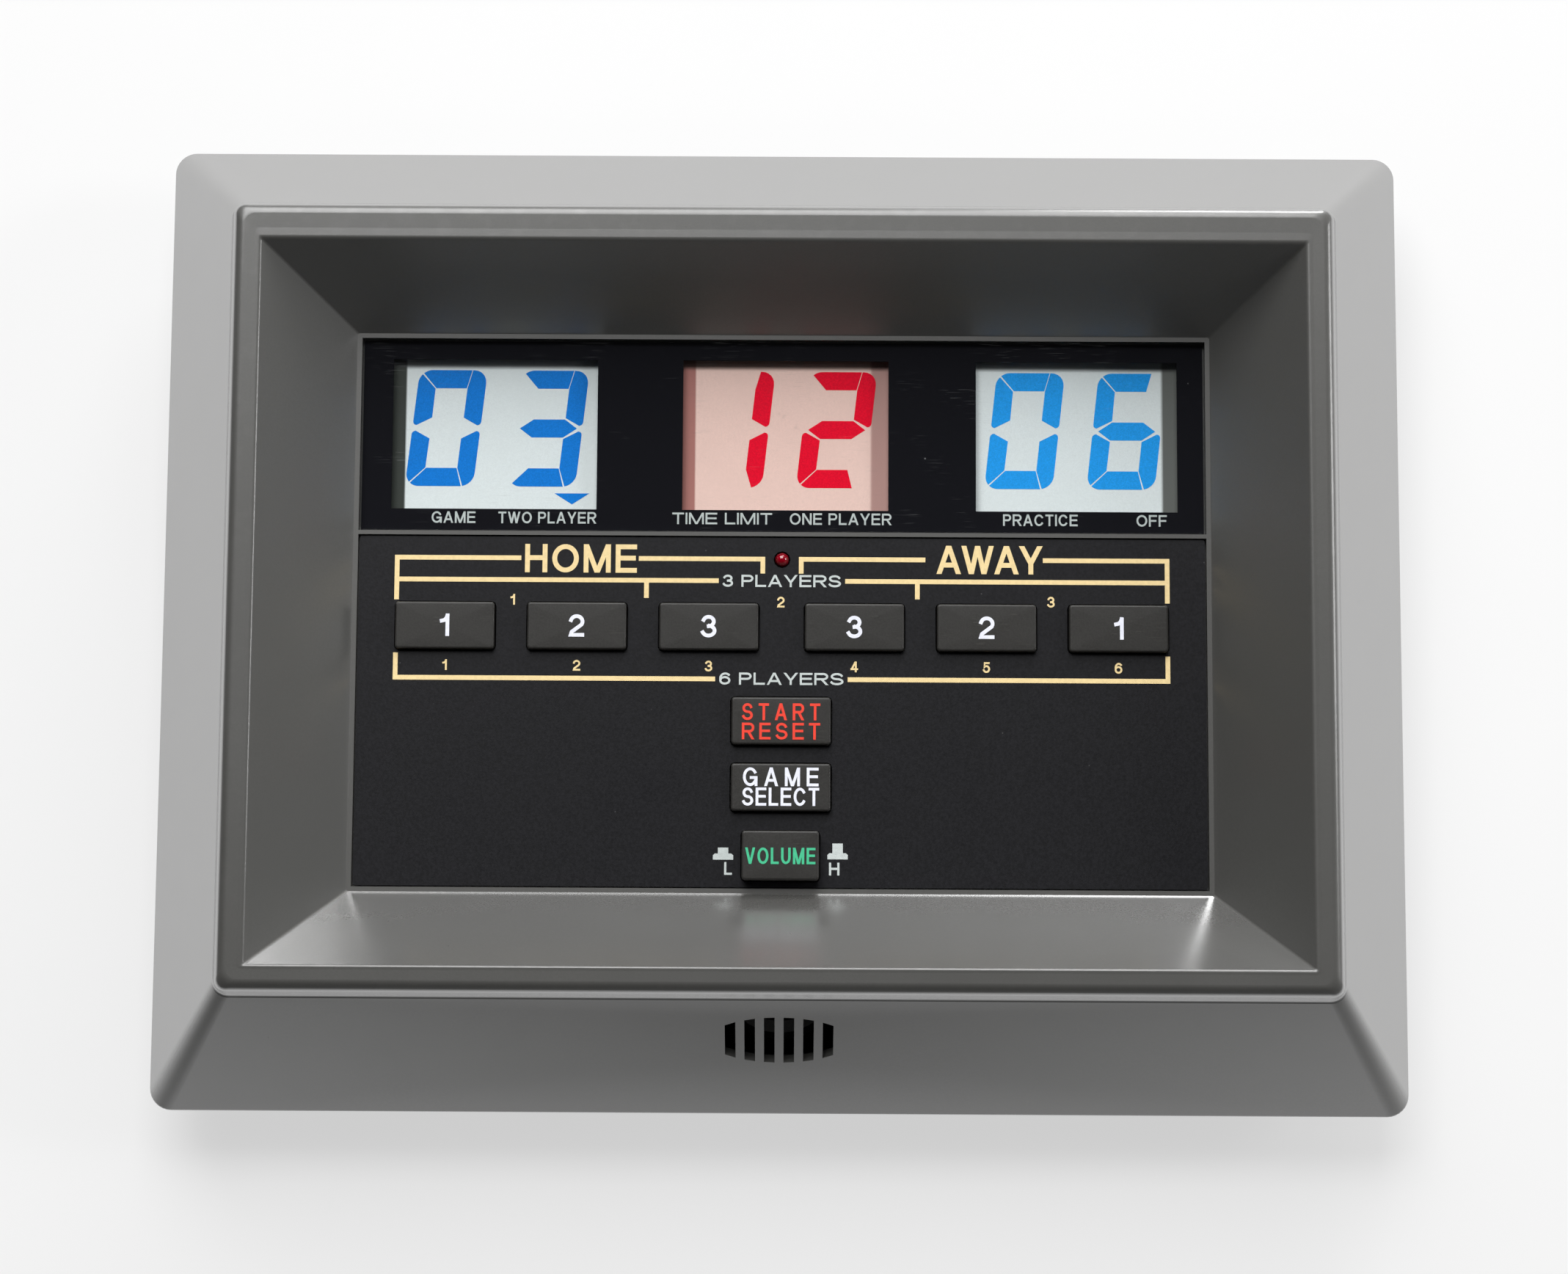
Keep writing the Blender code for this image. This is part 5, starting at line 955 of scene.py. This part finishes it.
def housing_back(shape, steps):
    """Back of the housing, from the lip's end in to the underside of the face."""
    slope = wall_offset(SLOPE_RUN, SLOPE_DROP)
    shoulder = FOOT_RUN + SLOPE_RUN * WALL / SLOPE_DROP - slope
    ceiling = RIM_Z - WALL - shape.rim_hollow
    lip_corner, inner_corner = shape.outline_corner - WALL, 1.0 * MM

    def under_funnel(z):
        return FUNNEL_RUN / FUNNEL_RISE * (z - LEDGE_Z) + wall_offset(FUNNEL_RUN, FUNNEL_RISE)

    return section_rings([
        (OUTLINE_RUN - WALL, LIP_BOTTOM_Z, 0, lip_corner),
        (OUTLINE_RUN - slope, LIP_Z, 0.4 * MM, lip_corner),
        (shoulder, FOOT_Z - WALL, 0.8 * MM, inner_corner),
        (RIM_RUN + 0.2 * MM, ceiling, 0.4 * MM, inner_corner),
        (under_funnel(ceiling), ceiling, 0.4 * MM, inner_corner),
        (under_funnel(FLOOR_BOTTOM_Z), FLOOR_BOTTOM_Z, 0, inner_corner),
    ], steps)


def slot_shapes():
    """Cutters of the speaker slots, whose slanted ends follow one ellipse."""
    tilt = math.atan2(SLOPE_DROP, SLOPE_RUN[2])
    place = (
        0, FACE_BOTTOM - FOOT_RUN[2] - SLOT_FIELD_DOWN_SLOPE * math.cos(tilt),
        FOOT_Z - SLOT_FIELD_DOWN_SLOPE * math.sin(tilt),
    )
    cutters = []
    for i in range(SLOT_COUNT):
        middle = (i - (SLOT_COUNT - 1) / 2) * SLOT_PITCH
        left, right = middle - SLOT_WIDTH / 2, middle + SLOT_WIDTH / 2
        start, end = (
            SLOT_FIELD_HALF_LENGTH * math.sqrt(1 - (side / SLOT_FIELD_HALF_WIDTH) ** 2)
            for side in (left, right)
        )
        outline = [(left, -start), (right, -end), (right, end), (left, start)]
        cutters.append(plate(outline, -2.5 * WALL, WALL).tilted(tilt, place))
    return together(cutters)


def cap_outline(node):
    """Middle and half size of a button's cap, inside its solid's flange, and its top."""
    low, high = np.array(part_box(node))
    return (low + high)[:2] / 2, (high - low)[:2] / 2 - CAP_FLANGE, high[2]


def button_holes(low, high):
    """Cutters for the holes that the caps stand in."""
    holes = []
    for node in BUTTONS:
        (x, y), half, _ = cap_outline(node)
        wide, tall = half + GAP
        sides = x - wide, x + wide, y - tall, y + tall
        holes.append(loft(rounded_rings(*sides, np.array([low, high]), CAP_HOLE_CORNER, 4)))
    return together(holes)


def screw_bosses():
    """Bosses under the funnel and the face, and the pilot holes in them."""
    bosses, holes = [], []

    def add(node, radius, pilot_radius, low, high):
        bosses.append(rod(middle_of(node), radius, low, high))
        holes.append(rod(middle_of(node), pilot_radius, low - MM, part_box(node)[1][2] + GAP))

    case_boss = 3.2 * MM
    for i in range(1, 7):
        _, y = middle_of(f"case_screw_{i}")
        side = 2 if y < FACE_BOTTOM else 0 if abs(y) < -0.5 * FACE_BOTTOM else 1
        run = FUNNEL_RUN[side]
        reach = 0.58 * run - case_boss - wall_offset(run, FUNNEL_RISE) / 2
        top = LEDGE_Z + reach / run * FUNNEL_RISE
        add(f"case_screw_{i}", case_boss, 1.7 * MM, low=SHELL_LOW[2], high=top)
    board_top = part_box("main_board")[1][2]
    floor = FLOOR_BOTTOM_Z + 0.5 * MM
    for i in range(1, 5):
        add(f"board_screw_{i}", 2.7 * MM, 1.4 * MM, low=board_top + GAP, high=floor)
    return together(bosses), together(holes)


def settings(context):
    """The three groups of settings."""
    scene = context.scene
    return scene.scoreboard_shape, scene.scoreboard_colours, scene.scoreboard_stage


class SCOREBOARD_OT_housing(bpy.types.Operator):
    """Make the front housing: slopes, rim, funnel, ledge, divider, bosses and speaker slots"""

    bl_idname = "scoreboard.housing"
    bl_label = "Front Housing"

    def execute(self, context):
        shape, colours, stage = settings(context)
        steps = stage.curve_steps
        shell = loft(np.concatenate([housing_front(shape, steps), housing_back(shape, steps)]))
        right = PANEL_HIGH[0] + GAP
        pockets = together(
            block(-right, right, low_y - GAP, high_y + GAP, low_z - GAP, RIM_Z)
            for low_y, high_y, low_z in (
                (LENS_LOW[1], LENS_HIGH[1], MASK_LOW[2]), (PANEL_LOW[1], PANEL_HIGH[1], PANEL_LOW[2]),
            )
        )
        floor = FLOOR_BOTTOM_Z - MM, FACE_Z
        holes = [button_holes(*floor), rod(middle_of("status_led"), LAMP_RADIUS + GAP, *floor)]
        ends = OPENING_BOTTOM - FLOOR_OPENING_MARGIN, OPENING_TOP + FLOOR_OPENING_MARGIN
        for name in DISPLAYS:
            x, _ = middle_of(f"lcd_{name}")
            sides = x - FLOOR_OPENING_HALF, x + FLOOR_OPENING_HALF
            holes.append(block(*sides, *ends, *floor))
        bosses, pilots = screw_bosses()
        mesh = carved("housing_shell", shell, [
            ("UNION", bosses), ("DIFFERENCE", pockets), ("DIFFERENCE", together(holes)),
            ("DIFFERENCE", pilots), ("DIFFERENCE", slot_shapes()),
        ])
        finish = housing_finish(colours)
        piece("housing_shell", mesh, finish, "housing", ["front_bezel"])
        return {"FINISHED"}


# The displays. For each: its digits and the tint of their segments, the slot and colour of its ground,
# the colours of its two border bands, which are painted shade from the mask's edges over the display's
# border, and five places from its middle, in millimetres: both sides of the mask's opening, both
# sides of the light ground, and the left side of the first digit.
DISPLAYS = {
    "left": ("03", "blue", "lcd_pale", (linear(62, 66, 62), linear(205, 212, 212)),
             (-21.35, 22.7, -18.7, 24.0, -18.75)),
    "center": ("12", "red", "lcd_pink", (linear(176, 120, 113), linear(192, 152, 145)),
               (-21.5, 22.7, -18.85, 19.0, -19.15)),
    # Its digits take the left display's blue painted lighter, as painted light.
    "right": ("06", "light_blue", "lcd_pale", (linear(206, 213, 214), linear(106, 108, 105)),
              (-21.1, 22.15, -24.0, 19.1, -19.2)),
}


def display_marks(name):
    """The five places of a display, across the face."""
    return middle_of(f"lcd_{name}")[0] + np.array(DISPLAYS[name][-1]) * MM


class SCOREBOARD_OT_face(bpy.types.Operator):
    """Make the mask printed behind the window, and finish the window and the panel"""

    bl_idname = "scoreboard.face"
    bl_label = "Face Plates"

    def execute(self, context):
        _, colours, _ = settings(context)
        dress(window_finish(), "display_window")
        dress(panel_finish(colours), "control_panel")
        mask = block(*np.transpose([MASK_LOW, MASK_HIGH]).ravel())
        heights = OPENING_BOTTOM, OPENING_TOP, MASK_LOW[2] - MM, MASK_HIGH[2] + MM
        openings = together(block(*display_marks(name)[:2], *heights) for name in DISPLAYS)
        mesh = carved("mask_print", mask, [("DIFFERENCE", openings)])
        piece("mask_print", mesh, mask_finish(colours), "housing", ["window_mask"])
        return {"FINISHED"}


# The prints, in millimetres. Brackets on the panel are listed for the left half, and the right
# half mirrors them. Free ends stick out by half a line's width.
BRACKETS = [
    [(-56.2, 13.8), (-82.2, 13.8), (-82.2, 5.2)],
    [(-30.1, 13.8), (-4.1, 13.8), (-4.1, 11.2)],
    [(-82.2, 9.1), (-14.0, 9.1)],
    [(-28.9, 9.1), (-28.9, 5.8)],
    [(-82.2, -7.2), (-82.2, -12.0), (-14.6, -12.0)],
]

# Words in cream: text, left, right, low, high, and the gaps between letters over their height.
CREAM_WORDS = [("HOME", -54.9, -31.0, 10.7, 16.8, 0.17), ("AWAY", 33.0, 55.6, 10.8, 16.9, 0.02)]

# Numbers beside the buttons: text, middle, low, high.
SMALL_NUMBERS = [
    ("1", -57.4, 3.7, 6.0), ("2", -0.2, 3.4, 5.7), ("3", 57.4, 3.7, 6.0),
    ("1", -71.7, -10.4, -8.1), ("2", -43.6, -10.4, -8.1), ("3", -15.5, -10.4, -8.1),
    ("4", 15.5, -10.4, -8.1), ("5", 43.6, -10.4, -8.1), ("6", 71.7, -10.4, -8.1),
]

# Pale words on the panel and captions behind the window: text, left, right, low, high.
PALE_WORDS = [
    ("3 PLAYERS", -12.6, 12.6, 7.8, 10.4), ("6 PLAYERS", -13.2, 13.2, -13.2, -10.6),
    ("L", -11.85, -10.2, -53.6, -50.9), ("H", 10.3, 12.5, -53.6, -50.9),
]
CAPTIONS = [
    ("GAME", -75.2, -65.8, 21.5, 24.0), ("TWO PLAYER", -60.9, -39.9, 21.5, 24.0),
    ("TIME LIMIT", -23.6, -2.2, 21.5, 24.0), ("ONE PLAYER", 1.6, 23.4, 21.5, 24.0),
    ("PRACTICE", 47.3, 63.3, 21.5, 24.0), ("OFF", 75.9, 82.4, 21.5, 24.0),
]

# Volume pictures: a button seen from its side, pushed in and standing out. For each its place
# and the height of its cap.
PICTURES = [(-12.1, -50.4, 1.25), (12.1, -50.2, 2.05)]
PICTURE_BASE = [(-2.15, 0.0), (2.15, 0.0), (2.15, 0.95), (1.7, 1.3), (-1.7, 1.3), (-2.15, 0.95)]
PICTURE_CAP_HALF = 1.1


def pictures(ink):
    """The two small pictures beside the volume button."""
    shapes = []
    for x, y, rise in PICTURES:
        foot = y + PICTURE_BASE[3][1]
        cap = np.array([x - PICTURE_CAP_HALF, x + PICTURE_CAP_HALF, foot, foot + rise])
        shapes.append(plate((np.array(PICTURE_BASE) + (x, y)) * MM, FACE_Z, FACE_Z + ink))
        shapes.append(block(*cap * MM, FACE_Z, FACE_Z + ink))
    return shapes


class SCOREBOARD_OT_prints(bpy.types.Operator):
    """Print the brackets, words and numbers on the panel and the captions on the window"""

    bl_idname = "scoreboard.prints"
    bl_label = "Prints"

    def execute(self, context):
        shape, colours, _ = settings(context)
        ink = shape.print_thickness
        lines = [
            stroke(np.array(path) * (sign * MM, MM), shape.line_width, FACE_Z, FACE_Z + ink + i * LAYER)
            for i, path in enumerate(BRACKETS) for sign in (1, -1)
        ]
        words = [
            lettering(text, *MM * np.array(box), FACE_Z, ink, tracking=tracking)
            for text, *box, tracking in CREAM_WORDS
        ]
        words += [
            lettering(text, x * MM, None, low * MM, high * MM, FACE_Z, ink)
            for text, x, low, high in SMALL_NUMBERS
        ]
        legends = [lettering(text, *MM * np.array(box), FACE_Z, ink) for text, *box in PALE_WORDS]
        captions = [
            lettering(text, *MM * np.array(box), MASK_HIGH[2], ink, 0.155, 0.14)
            for text, *box in CAPTIONS
        ]
        cream = ink_finish("cream_ink", colours.cream)
        pale = ink_finish("pale_ink", colours.pale)
        for name, shapes, finish, slot in (
            ("bracket_lines", lines, cream, "panel_charcoal"),
            ("panel_words", words, cream, "panel_charcoal"),
            ("panel_legends", legends + pictures(ink), pale, "panel_charcoal"),
            ("window_captions", captions, pale, "mask_black"),
        ):
            piece(name, together(shapes), finish, "housing")
        return {"FINISHED"}


def digit_segments(shape):
    """Outline of each segment, before the digit is slanted, from its lower left corner.

    The segments are named a to g: top, upper right, lower right, bottom, lower left, upper
    left and middle. The right ones take the digit's round corners whole, and the left ones
    meet the top and bottom on a diagonal.
    """
    w, h, t = shape.digit_width, shape.digit_height, shape.segment_width
    gap = shape.segment_gap / 2
    corner, tip = 2.9 * MM, 0.8 * MM
    inner_end, tip_end = h / 2 + 2.3 * MM, h / 2 + 0.62 * MM
    lean_top, lean_bottom = 0.75 * MM, 1.4 * MM
    bar_tip, half_bar = 1.2 * MM, 1.97 * MM
    diagonal = corner * (1 - math.sqrt(0.5))
    cut = 4

    def upside_down(points):
        return [(x, h - y) for x, y in reversed(points)]

    def bar(lean):
        end = (w - t + lean - gap, h)
        arc = bend(corner, h - corner, corner, corner, 90, 135 - cut, 7)
        return [(t + gap * 1.4, h - t), (w - t - gap, h - t), end] + arc

    def right(arc_end, *end):
        inner = [(w - t + gap, h - t), (w - t + gap, inner_end), (w - tip, tip_end)]
        return [
            *inner, *bend(w - tip, tip_end + tip, tip, tip, -90, 0, 4),
            *bend(w - corner, h - corner, corner, corner, 0, arc_end, 7), *end,
        ]

    left = [
        (t - gap, h - t - gap * 1.4), (diagonal - gap, h - diagonal - gap),
        *bend(corner, h - corner, corner, corner, 135 + cut, 180, 7),
        *bend(tip, tip_end + tip, tip, tip, 180, 270, 4), (t, inner_end),
    ]
    across = [
        (bar_tip, h / 2), (t, h / 2 - half_bar), (w - t, h / 2 - half_bar),
        (w - bar_tip, h / 2), (w - t, h / 2 + half_bar), (t, h / 2 + half_bar),
    ]
    return {
        "a": bar(lean_top), "b": right(90, (w - t + lean_top + gap, h)),
        "c": upside_down(right(79)), "d": upside_down(bar(lean_bottom)),
        "e": upside_down(left), "f": left, "g": across,
    }


SEGMENTS_OF = {"0": "abcdef", "1": "bc", "2": "abged", "3": "abgcd", "6": "afgecd"}
DIGIT_SLANT = 0.11
DIGIT_LOW = 29.85 * MM
POINTER = np.array([(-49.1, 28.4), (-45.3, 26.0), (-41.6, 28.4)]) * MM


class SCOREBOARD_OT_displays(bpy.types.Operator):
    """Finish the three display glasses and show their digits and the pointer"""

    bl_idname = "scoreboard.displays"
    bl_label = "Displays"

    def execute(self, context):
        shape, colours, _ = settings(context)
        segments = digit_segments(shape)
        for name, (shown, segment_tint, ground, strips, _) in DISPLAYS.items():
            _, _, *zone, first_left = display_marks(name)
            base = getattr(colours, ground)
            dress(display_finish(f"display_{name}_ground", base, zone, strips), f"lcd_{name}")
            outlines = []
            for i, digit in enumerate(shown):
                for segment in SEGMENTS_OF[digit]:
                    points = np.array(segments[segment])
                    points[:, 0] += first_left + i * shape.digit_pitch + DIGIT_SLANT * points[:, 1]
                    points[:, 1] += DIGIT_LOW
                    outlines.append(points)
            if name == "left":
                outlines.append(POINTER)
            top = LCD_TOP_Z + shape.print_thickness
            digits = together(plate(outline, LCD_TOP_Z, top) for outline in outlines)
            finish = segment_finish(f"{segment_tint}_segments", getattr(colours, segment_tint))
            piece(f"digits_{name}", digits, finish, "housing")
        return {"FINISHED"}


def cap_shape(node, shape, steps):
    """A button cap: crowned top, round edge, upright sides, flange and stem.

    Rows run from the middle of the top outwards and down. On the top they are rectangles
    scaled by k, whose height is top - crown * k^2. Over the edge they follow a quarter circle.
    """
    middle, half, high = cap_outline(node)
    top = high - CAP_INK
    edge, corner = shape.cap_edge, shape.cap_corner
    shoulder = top - shape.cap_crown - edge
    flange_low = FLANGE_TOP_Z - CAP_FLANGE
    k = np.array([0.04, 0.2, 0.4, 0.6, 0.8, 0.93, 0.99])
    turn = np.radians(np.linspace(0, 90, steps + 1))
    sizes = np.concatenate([
        np.outer(k, half - edge), half - edge + edge * np.sin(turn)[:, None],
        [half, half, half + CAP_FLANGE, half + CAP_FLANGE],
    ])
    heights = np.concatenate([
        top - shape.cap_crown * k ** 2, shoulder + edge * np.cos(turn),
        [shoulder - 0.04 * MM, FLANGE_TOP_Z, FLANGE_TOP_Z, flange_low],
    ])
    radii = np.concatenate([
        k * (corner - 0.5 * edge), corner - 0.5 * edge * np.cos(turn), np.full(4, corner),
    ])
    (x_low, y_low), (x_high, y_high) = (middle - sizes).T, (middle + sizes).T
    rings = rounded_rings(x_low, x_high, y_low, y_high, heights, radii, 6, 0.02 * MM)
    stem = rod(middle, CAP_STEM_RADIUS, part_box(node)[0][2], flange_low + 0.5 * CAP_FLANGE)
    return loft(rings) + stem


# Words on the caps, in millimetres from the cap's middle: half width, low, high, and the gaps
# between letters over their height. The other caps bear their number.
CAP_WORDS = {
    "start": [("START", 8.3, 0.1, 3.7, 0.34), ("RESET", 8.3, -4.0, -0.45, 0.3)],
    "select": [("GAME", 8.0, 0.2, 4.15, 0.36), ("SELECT", 8.15, -3.95, -0.1, 0.13)],
    "volume": [("VOLUME", 7.4, -1.85, 1.6, 0.14)],
}
SCORE_NUMBER_HALF_HEIGHT = 2.4 * MM
CAP_INK = 0.02 * MM


class SCOREBOARD_OT_buttons(bpy.types.Operator):
    """Make the nine button caps and print their labels"""

    bl_idname = "scoreboard.buttons"
    bl_label = "Buttons"

    def execute(self, context):
        shape, colours, stage = settings(context)
        plastic = cap_finish(colours)
        inks = {
            name: ink_finish(f"{name}_ink", getattr(colours, f"{name}_text")) for name in CAP_WORDS
        }
        for node in BUTTONS:
            cap = cap_shape(node, shape, stage.curve_steps)
            piece(f"{node}_cap", cap, plastic, body_of(node), [node], 35)
            (x, y), _, top = cap_outline(node)
            foot = top - shape.cap_crown - CAP_INK
            ink = top - foot - 4 * LAYER
            word = node.split("_")[0]
            if word in CAP_WORDS:
                label = together(
                    lettering(
                        text, x - wide * MM, x + wide * MM, y + low * MM, y + high * MM, foot, ink,
                        0.15, tracking,
                    )
                    for text, wide, low, high, tracking in CAP_WORDS[word]
                )
            else:
                tall = SCORE_NUMBER_HALF_HEIGHT
                label = lettering(node[-1], x, None, y - tall, y + tall, foot, ink, 0.165)
            finish = inks.get(word, inks["select"])
            piece(f"{node}_label", label, finish, body_of(node))
        return {"FINISHED"}


class SCOREBOARD_OT_lamp(bpy.types.Operator):
    """Make the red status lamp"""

    bl_idname = "scoreboard.lamp"
    bl_label = "Status Lamp"

    def execute(self, context):
        _, colours, _ = settings(context)
        low, high = np.array(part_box("status_led"))
        x, y = middle_of("status_led")
        radius, flange = LAMP_RADIUS, (high[0] - low[0]) / 2
        turn = np.radians(np.linspace(0, 88, 14))
        dome = np.stack([radius * np.cos(turn), high[2] - radius * (1 - np.sin(turn))], -1)
        foot = [(flange, FLANGE_TOP_Z - MM), (flange, FLANGE_TOP_Z), (radius, FLANGE_TOP_Z)]
        leg_radius, leg_place = 0.35 * MM, 1.27 * MM
        legs = [
            rod((x + side, y), leg_radius, low[2], FLANGE_TOP_Z - 0.5 * MM, 12)
            for side in (-leg_place, leg_place)
        ]
        lamp = turned(np.concatenate([foot, dome]), (x, y), 40) + together(legs)
        piece("status_lamp", lamp, lamp_finish(colours), "housing", ["status_led"], 40)
        return {"FINISHED"}


CASE_SCREWS = [f"case_screw_{i}" for i in range(1, 7)]
FEET = [f"rubber_foot_{i}" for i in range(1, 5)]


class SCOREBOARD_OT_back(bpy.types.Operator):
    """Round the edges of the rear cover, the battery door, the feet and the case screws"""

    bl_idname = "scoreboard.back"
    bl_label = "Back"

    def execute(self, context):
        _, colours, _ = settings(context)
        plastic = rear_finish(colours)
        rubber = rubber_finish()
        zinc = metal_finish("zinc_plate", (0.5, 0.5, 0.52), 0.25, (1, 1, 0.2), 0.3)
        refined("rear_cover", 0.3 * MM, plastic, "rear_shell")
        refined("battery_door", 0.2 * MM, plastic, "battery_door_panel")
        for node in FEET:
            refined(node, 0.3 * MM, rubber, f"{node}_pad", 3)
        for node in CASE_SCREWS:
            refined(node, 0.12 * MM, zinc, f"{node}_body")
        dress(zinc, *(f"board_screw_{i}" for i in range(1, 5)))
        return {"FINISHED"}


class SCOREBOARD_OT_inside(bpy.types.Operator):
    """Finish the board, switches, display frame, speaker, cells, contacts and leads"""

    bl_idname = "scoreboard.inside"
    bl_label = "Inside"

    def execute(self, _context):
        switches = [node.replace("button", "switch") for node in BUTTONS]
        contacts = [f"contact_{side}_{end}" for side in ("left", "right") for end in ("outer", "inner")]
        dress(board_finish(), "main_board")
        dress(chip_finish(), "controller_chip")
        dress(plastic_finish("switch_plastic", (0.02, 0.02, 0.021), 0.42), *switches)
        dress(plastic_finish("frame_plastic", (0.62, 0.62, 0.59), 0.45, 0.8), "lcd_frame")
        dress(strip_finish(), *(f"contact_strip_{name}" for name in DISPLAYS))
        dress(metal_finish("basket_steel", (0.52, 0.52, 0.52), 0.3), "speaker_frame")
        dress(cone_finish(), "speaker_cone")
        dress(metal_finish("magnet_ferrite", (0.2, 0.2, 0.21), 0.42), "speaker_magnet")
        dress(cell_finish(), *(f"battery_cell_{i}" for i in (1, 2, 3)))
        dress(metal_finish("contact_nickel", (0.63, 0.6, 0.55), 0.22), *contacts)
        dress(lead_finish("black_insulation", (0.018, 0.018, 0.018)), "speaker_lead")
        dress(lead_finish("red_insulation", (0.42, 0.02, 0.02)), "battery_lead")
        return {"FINISHED"}


# Camera place in metres and turn in degrees, solved from the edges of the photographed case.
CAMERA_PLACE = (0.00243, -0.09057, 0.73755)
CAMERA_TURN = (7.0025, 0.1134, 0.3324)

# Lamps: name, place and size, in metres. All look at the middle of the face.
LAMPS = [
    ("top_lamp", (-0.30, 1.35, 1.50), 1.5),
    ("low_lamp", (0.48, 1.60, 0.55), 0.6),
    ("side_lamp", (1.45, 0.30, 0.80), 0.42),
]


def stand(name, data, place, turn):
    """Put a camera or a lamp in the scene."""
    holder = bpy.data.objects.new(name, data)
    holder.location = place
    holder.rotation_euler = turn
    bpy.context.scene.collection.objects.link(holder)
    return holder


def surround_world(strength):
    """White light from all round, weakest overhead and strongest towards +X."""
    shade = Shade("surround", world=True)
    x, _, z = shade.axes()
    fade = enumerate((z, 0.15, 0.75, strength, 0.06 * strength))
    across = enumerate((x, -0.7, 0.7, 0.4, 1.25))
    product = shade.node("ShaderNodeMapRange", fade) * shade.node("ShaderNodeMapRange", across)
    sockets = {"Color": (1, 1, 1), "Strength": product}
    return shade.finish(shade.node("ShaderNodeBackground", sockets))


def table_finish(stage):
    """Pale cloth, seen by the camera and in mirrors as partly plain white."""
    shade = Shade("table_cloth", stage.floor)
    lit = shade.principled(shade.blend(shade.noise(50, 2).rise(0.3, 0.7), 0.99, 1), 0.9)
    camera, glossy, through = (
        shade.node("ShaderNodeLightPath", output=f"Is {kind} Ray")
        for kind in ("Camera", "Glossy", "Transmission")
    )
    white = shade.node("ShaderNodeEmission", {"Color": (1, 1, 1), "Strength": 1.0})
    share = camera.larger(glossy).larger(through) * stage.whiteness
    return shade.finish(shade.node("ShaderNodeMixShader", {0: share, 1: lit, 2: white}))


class SCOREBOARD_OT_stage(bpy.types.Operator):
    """Lay out the pale table, the soft lamps and the camera"""

    bl_idname = "scoreboard.stage"
    bl_label = "Stage"

    def execute(self, context):
        _, _, stage = settings(context)
        scene = context.scene
        reach = stage.floor_reach
        mesh = bpy.data.meshes.new("table")
        corners = [(-reach, -reach, 0), (reach, -reach, 0), (reach, reach, 0), (-reach, reach, 0)]
        mesh.from_pydata(corners, [], [(0, 1, 2, 3)])
        mesh.materials.append(table_finish(stage))
        table = bpy.data.objects.new("table", mesh)
        scene.collection.objects.link(table)
        scene.world = surround_world(stage.surround)
        for name, place, size in LAMPS:
            light = bpy.data.lights.new(name, "AREA")
            light.shape = "SQUARE"
            light.size = size
            light.energy = getattr(stage, name)
            stand(name, light, place, (-Vector(place)).to_track_quat("-Z", "Y").to_euler())
        camera = bpy.data.cameras.new("view_camera")
        camera.lens = stage.lens
        camera.sensor_width = 36.0
        camera.clip_end = 20.0
        scene.camera = stand("view_camera", camera, CAMERA_PLACE, np.radians(CAMERA_TURN))
        scene.view_settings.view_transform = "Standard"
        return {"FINISHED"}


SETTINGS = {
    "scoreboard_shape": ScoreboardShape,
    "scoreboard_colours": ScoreboardColours,
    "scoreboard_stage": ScoreboardStage,
}
OPERATORS = [
    SCOREBOARD_OT_housing, SCOREBOARD_OT_face, SCOREBOARD_OT_prints, SCOREBOARD_OT_displays,
    SCOREBOARD_OT_buttons, SCOREBOARD_OT_lamp, SCOREBOARD_OT_back, SCOREBOARD_OT_inside,
    SCOREBOARD_OT_stage,
]


class SCOREBOARD_PT_panel(bpy.types.Panel):
    """Lists the scoreboard's operators and settings"""

    bl_idname = "SCOREBOARD_PT_panel"
    bl_label = "Scoreboard"
    bl_space_type = "VIEW_3D"
    bl_region_type = "UI"
    bl_category = "Scoreboard"

    def draw(self, context):
        for operator in OPERATORS:
            self.layout.operator(operator.bl_idname)
        for group in settings(context):
            box = self.layout.box()
            for name in group.bl_rna.properties.keys():
                if name not in ("rna_type", "name"):
                    box.prop(group, name)


CLASSES = [*SETTINGS.values(), *OPERATORS, SCOREBOARD_PT_panel]


def register():
    for cls in CLASSES:
        bpy.utils.register_class(cls)
    for name, group in SETTINGS.items():
        setattr(bpy.types.Scene, name, PointerProperty(type=group))


def unregister():
    for name in SETTINGS:
        delattr(bpy.types.Scene, name)
    for cls in reversed(CLASSES):
        bpy.utils.unregister_class(cls)


def main():
    register()
    bpy.ops.scoreboard.housing()
    bpy.ops.scoreboard.face()
    bpy.ops.scoreboard.prints()
    bpy.ops.scoreboard.displays()
    bpy.ops.scoreboard.buttons()
    bpy.ops.scoreboard.lamp()
    bpy.ops.scoreboard.back()
    bpy.ops.scoreboard.inside()
    bpy.ops.scoreboard.stage()


if __name__ == "__main__":
    main()
